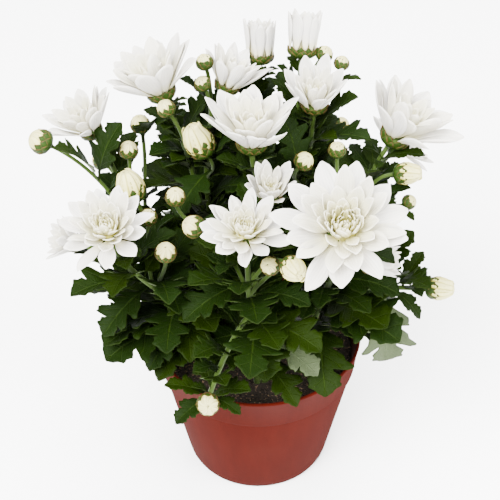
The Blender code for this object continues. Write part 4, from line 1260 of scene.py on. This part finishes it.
def cut_slots(pot):
    """Cuts the drain slots through the corner of the pot's foot, for good."""
    cutters = bpy.data.collections.new("drain_slots")
    bpy.context.scene.collection.children.link(cutters)
    for bearing in SLOT_BEARINGS:
        turn = math.radians(bearing)
        bm = bmesh.new()
        bmesh.ops.create_cube(bm, size=1)
        bmesh.ops.scale(bm, vec=SLOT_SIZE, verts=bm.verts)
        bmesh.ops.bevel(bm, geom=bm.edges[:], offset=SLOT_ROUNDING, segments=3, profile=0.5,
                        affect="EDGES", material=-1)
        reach = FOOT_RADIUS * SLOT_REACH
        bm.transform(Matrix.Rotation(turn, 4, "Z") @ Matrix.Translation((reach, 0, 0)))
        mesh = bpy.data.meshes.new("drain_slot")
        bm.to_mesh(mesh)
        bm.free()
        cutters.objects.link(bpy.data.objects.new("drain_slot", mesh))
    cut = pot.modifiers.new("slots", "BOOLEAN")
    cut.operand_type = "COLLECTION"
    cut.collection = cutters
    graph = bpy.context.evaluated_depsgraph_get()
    mesh = bpy.data.meshes.new_from_object(pot.evaluated_get(graph))
    pot.modifiers.clear()
    pot.data = mesh
    for cutter in list(cutters.objects):
        bpy.data.objects.remove(cutter)
    bpy.data.collections.remove(cutters)


def soil_profile(settings):
    """The soil's section, from the middle of its top to the middle of its foot."""
    inset = settings.wall + SOIL_GAP
    slope = (RIM_RADIUS - WALL_TOP_RADIUS) / COLLAR_HEIGHT
    edge = WALL_TOP_RADIUS - inset - 2 * SOIL_GAP + slope * (SOIL_LEVEL - COLLAR_FOOT)
    top = [(edge * i / SOIL_RINGS, SOIL_LEVEL) for i in range(SOIL_RINGS + 1)]
    return top + [(WALL_TOP_RADIUS - inset, COLLAR_FOOT), (WALL_FOOT_RADIUS - inset, CORNER_HEIGHT),
                  (FOOT_RADIUS - inset, FLOOR + SOIL_GAP / 2), (0, FLOOR + SOIL_GAP / 2)]


def soil_height(settings, point):
    """How far the soil's surface stands above or below its level here."""
    coarse = noise.noise(point * 70)
    fine = noise.noise(point * 260)
    return settings.crumb * (0.7 * coarse + 0.5 * fine)


def add_crumbs(bm, settings, chance):
    """Loose crumbs of peat and bark on the soil."""
    for _ in range(CRUMBS):
        reach = (RIM_RADIUS - CRUMB_MARGIN) * math.sqrt(chance.random())
        place = around(reach, chance.uniform(0, 2 * math.pi), SOIL_LEVEL)
        place.z += soil_height(settings, place)
        size = chance.uniform(0.0005, 0.0016)
        crumb = bmesh.ops.create_icosphere(bm, subdivisions=1, radius=size)["verts"]
        stretch = Matrix.Diagonal((chance.uniform(0.7, 1.6), 1, chance.uniform(0.4, 0.9), 1))
        spin = Matrix.Rotation(chance.uniform(0, 3), 4, (chance.random(), chance.random(), 1))
        bmesh.ops.transform(bm, matrix=Matrix.Translation(place) @ spin @ stretch, verts=crumb)


class PLANT_OT_pot(bpy.types.Operator):
    """Makes the nursery pot with its collar, rounded lip and drain slots"""

    bl_idname = "plant.pot"
    bl_label = "Pot"

    def execute(self, context):
        settings = context.scene.plant.pot
        bm = turned(pot_profile(settings), POT_STEPS)
        pot = add_piece("pot_shell", bm, [plastic_material(settings)], ["pot"])
        cut_slots(pot)
        pot.data.set_sharp_from_angle(angle=math.radians(CREASE_ANGLE))
        return {"FINISHED"}


class PLANT_OT_soil(bpy.types.Operator):
    """Makes the crumbly potting soil"""

    bl_idname = "plant.soil"
    bl_label = "Soil"

    def execute(self, context):
        settings = context.scene.plant.pot
        bm = turned(soil_profile(settings), SOIL_STEPS)
        for vert in bm.verts:
            if vert.co.z > SOIL_LEVEL - 1e-5:
                vert.co.z += soil_height(settings, vert.co)
        add_crumbs(bm, settings, random.Random(SEED))
        add_piece("potting_soil", bm, [peat_material(settings)], ["soil"])
        return {"FINISHED"}


class PLANT_OT_stems(bpy.types.Operator):
    """Makes each cutting's ribbed stems and the green cups under its heads"""

    bl_idname = "plant.stems"
    bl_label = "Stems"

    def execute(self, context):
        settings = context.scene.plant.stems
        material = stem_material(settings)
        mains, shoots = stem_controls()
        for name in CUTTINGS:
            bm = bmesh.new()
            sweep(bm, bezier(mains[name][0], STEM_STEPS), settings.main_radius, STALK_TAPER)
            for head in heads_of(name):
                radius = settings.shoot_radius if head.parent is None else settings.stalk_radius
                sweep(bm, bezier(shoots[head.name][0], STEM_STEPS), radius, STALK_TAPER)
                add_cup(bm, settings, head)
            add_foliage(name, "stems", bm, [material])
        return {"FINISHED"}


class PLANT_OT_leaves(bpy.types.Operator):
    """Makes each cutting's lobed and toothed leaves"""

    bl_idname = "plant.leaves"
    bl_label = "Leaves"

    def execute(self, context):
        settings = context.scene.plant.leaves
        paints = (leaf_material, underside_material, leaf_edge_material)
        materials = [paint(settings) for paint in paints]
        chance = random.Random(SEED)
        blades = {name: new_blades() for name in CUTTINGS}
        for name, bm in blades.items():
            for leaf in grown_leaves(name):
                place = leaf_surface(settings, leaf, chance, chance.uniform(0.0, SOLID_DROOP))
                add_blade(bm, LEAF_COLUMNS, LEAF_ROWS, place, chance.choice(LEAF_TONES))
        for name, place in filling_leaves(settings, chance):
            add_blade(blades[name], LEAF_COLUMNS, LEAF_ROWS, place, chance.choice(LEAF_TONES))
        for name, bm in blades.items():
            add_foliage(name, "leaves", bm, materials, settings.thickness)
        return {"FINISHED"}


class PLANT_OT_calyxes(bpy.types.Operator):
    """Makes the overlapping scales round each head"""

    bl_idname = "plant.calyxes"
    bl_label = "Calyxes"

    def execute(self, context):
        settings = context.scene.plant.stems
        material = scale_material(settings)
        for number, name in enumerate(CUTTINGS):
            bm = new_blades()
            chance = random.Random(SEED + number)
            for head in heads_of(name):
                add_scales(bm, head, chance)
            add_foliage(name, "calyxes", bm, [material], settings.scale_thickness)
        return {"FINISHED"}


class PLANT_OT_flowers(bpy.types.Operator):
    """Makes the petals of every bloom and bud"""

    bl_idname = "plant.flowers"
    bl_label = "Flowers"

    def execute(self, context):
        settings = context.scene.plant.flowers
        white, cream = petal_material(settings), bud_material(settings)
        for number, head in enumerate(HEADS):
            bm = new_blades()
            chance = random.Random(SEED + number)
            if head.kind in CLOSED:
                add_closed_petals(bm, head, chance)
            else:
                add_open_petals(bm, head, chance)
                add_heart(bm, head, chance)
            materials = [cream if head.kind in CLOSED else white]
            add_piece(f"{head.name}_petals", bm, materials, [head.name],
                      settings.thickness)
        return {"FINISHED"}


class PLANT_OT_stage(bpy.types.Operator):
    """Makes the floor, the lights and the camera"""

    bl_idname = "plant.stage"
    bl_label = "Stage"

    def execute(self, context):
        settings = context.scene.plant.stage
        bm = bmesh.new()
        bmesh.ops.create_grid(bm, x_segments=1, y_segments=1, size=FLOOR_SIZE / 2)
        mesh = bpy.data.meshes.new("floor")
        bm.to_mesh(mesh)
        bm.free()
        floor = bpy.data.objects.new("floor", mesh)
        context.scene.collection.objects.link(floor)
        mesh.materials.append(floor_material(settings))
        for name, place, size, power in LIGHTS:
            add_light(context, name, place, size, getattr(settings, power))
        world = bpy.data.worlds.new("studio")
        world.use_nodes = True
        sky = world.node_tree.nodes["Background"].inputs
        sky["Color"].default_value = (1, 1, 1, 1)
        sky["Strength"].default_value = settings.sky
        context.scene.world = world
        add_camera(context)
        return {"FINISHED"}


def add_light(context, name, place, size, power):
    """A soft square light that faces the plant."""
    light = bpy.data.lights.new(name, "AREA")
    light.size = size
    light.energy = power
    obj = bpy.data.objects.new(name, light)
    context.scene.collection.objects.link(obj)
    obj.location = place
    aim = Vector((0, 0, POT_HEIGHT)) - Vector(place)
    obj.rotation_euler = aim.to_track_quat("-Z", "Y").to_euler()


def add_camera(context):
    camera = bpy.data.cameras.new("camera")
    camera.lens = CAMERA_LENS
    camera.shift_x = CAMERA_SHIFT
    camera.clip_start = 0.01
    obj = bpy.data.objects.new("camera", camera)
    context.scene.collection.objects.link(obj)
    obj.location = CAMERA_PLACE
    obj.rotation_euler = (math.radians(CAMERA_PITCH), 0, 0)
    context.scene.camera = obj


STEPS = (PLANT_OT_pot, PLANT_OT_soil, PLANT_OT_stems, PLANT_OT_leaves, PLANT_OT_calyxes,
         PLANT_OT_flowers, PLANT_OT_stage)


class PLANT_PT_panel(bpy.types.Panel):
    """The plant's settings and steps"""

    bl_idname = "PLANT_PT_panel"
    bl_label = "Pot chrysanthemum"
    bl_space_type = "VIEW_3D"
    bl_region_type = "UI"
    bl_category = "Plant"

    def draw(self, context):
        plant = context.scene.plant
        for group, kind in SETTINGS.items():
            box = self.layout.box()
            box.label(text=kind.__doc__)
            for name in kind.__annotations__:
                box.prop(getattr(plant, group), name)
        for step in STEPS:
            self.layout.operator(step.bl_idname)


CLASSES = (*SETTINGS.values(), PlantSettings, *STEPS, PLANT_PT_panel)


def register():
    for cls in CLASSES:
        bpy.utils.register_class(cls)
    bpy.types.Scene.plant = bpy.props.PointerProperty(type=PlantSettings)


def unregister():
    del bpy.types.Scene.plant
    for cls in reversed(CLASSES):
        bpy.utils.unregister_class(cls)


def main():
    register()
    for step in STEPS:
        group, name = step.bl_idname.split(".")
        getattr(getattr(bpy.ops, group), name)()


if __name__ == "__main__":
    main()
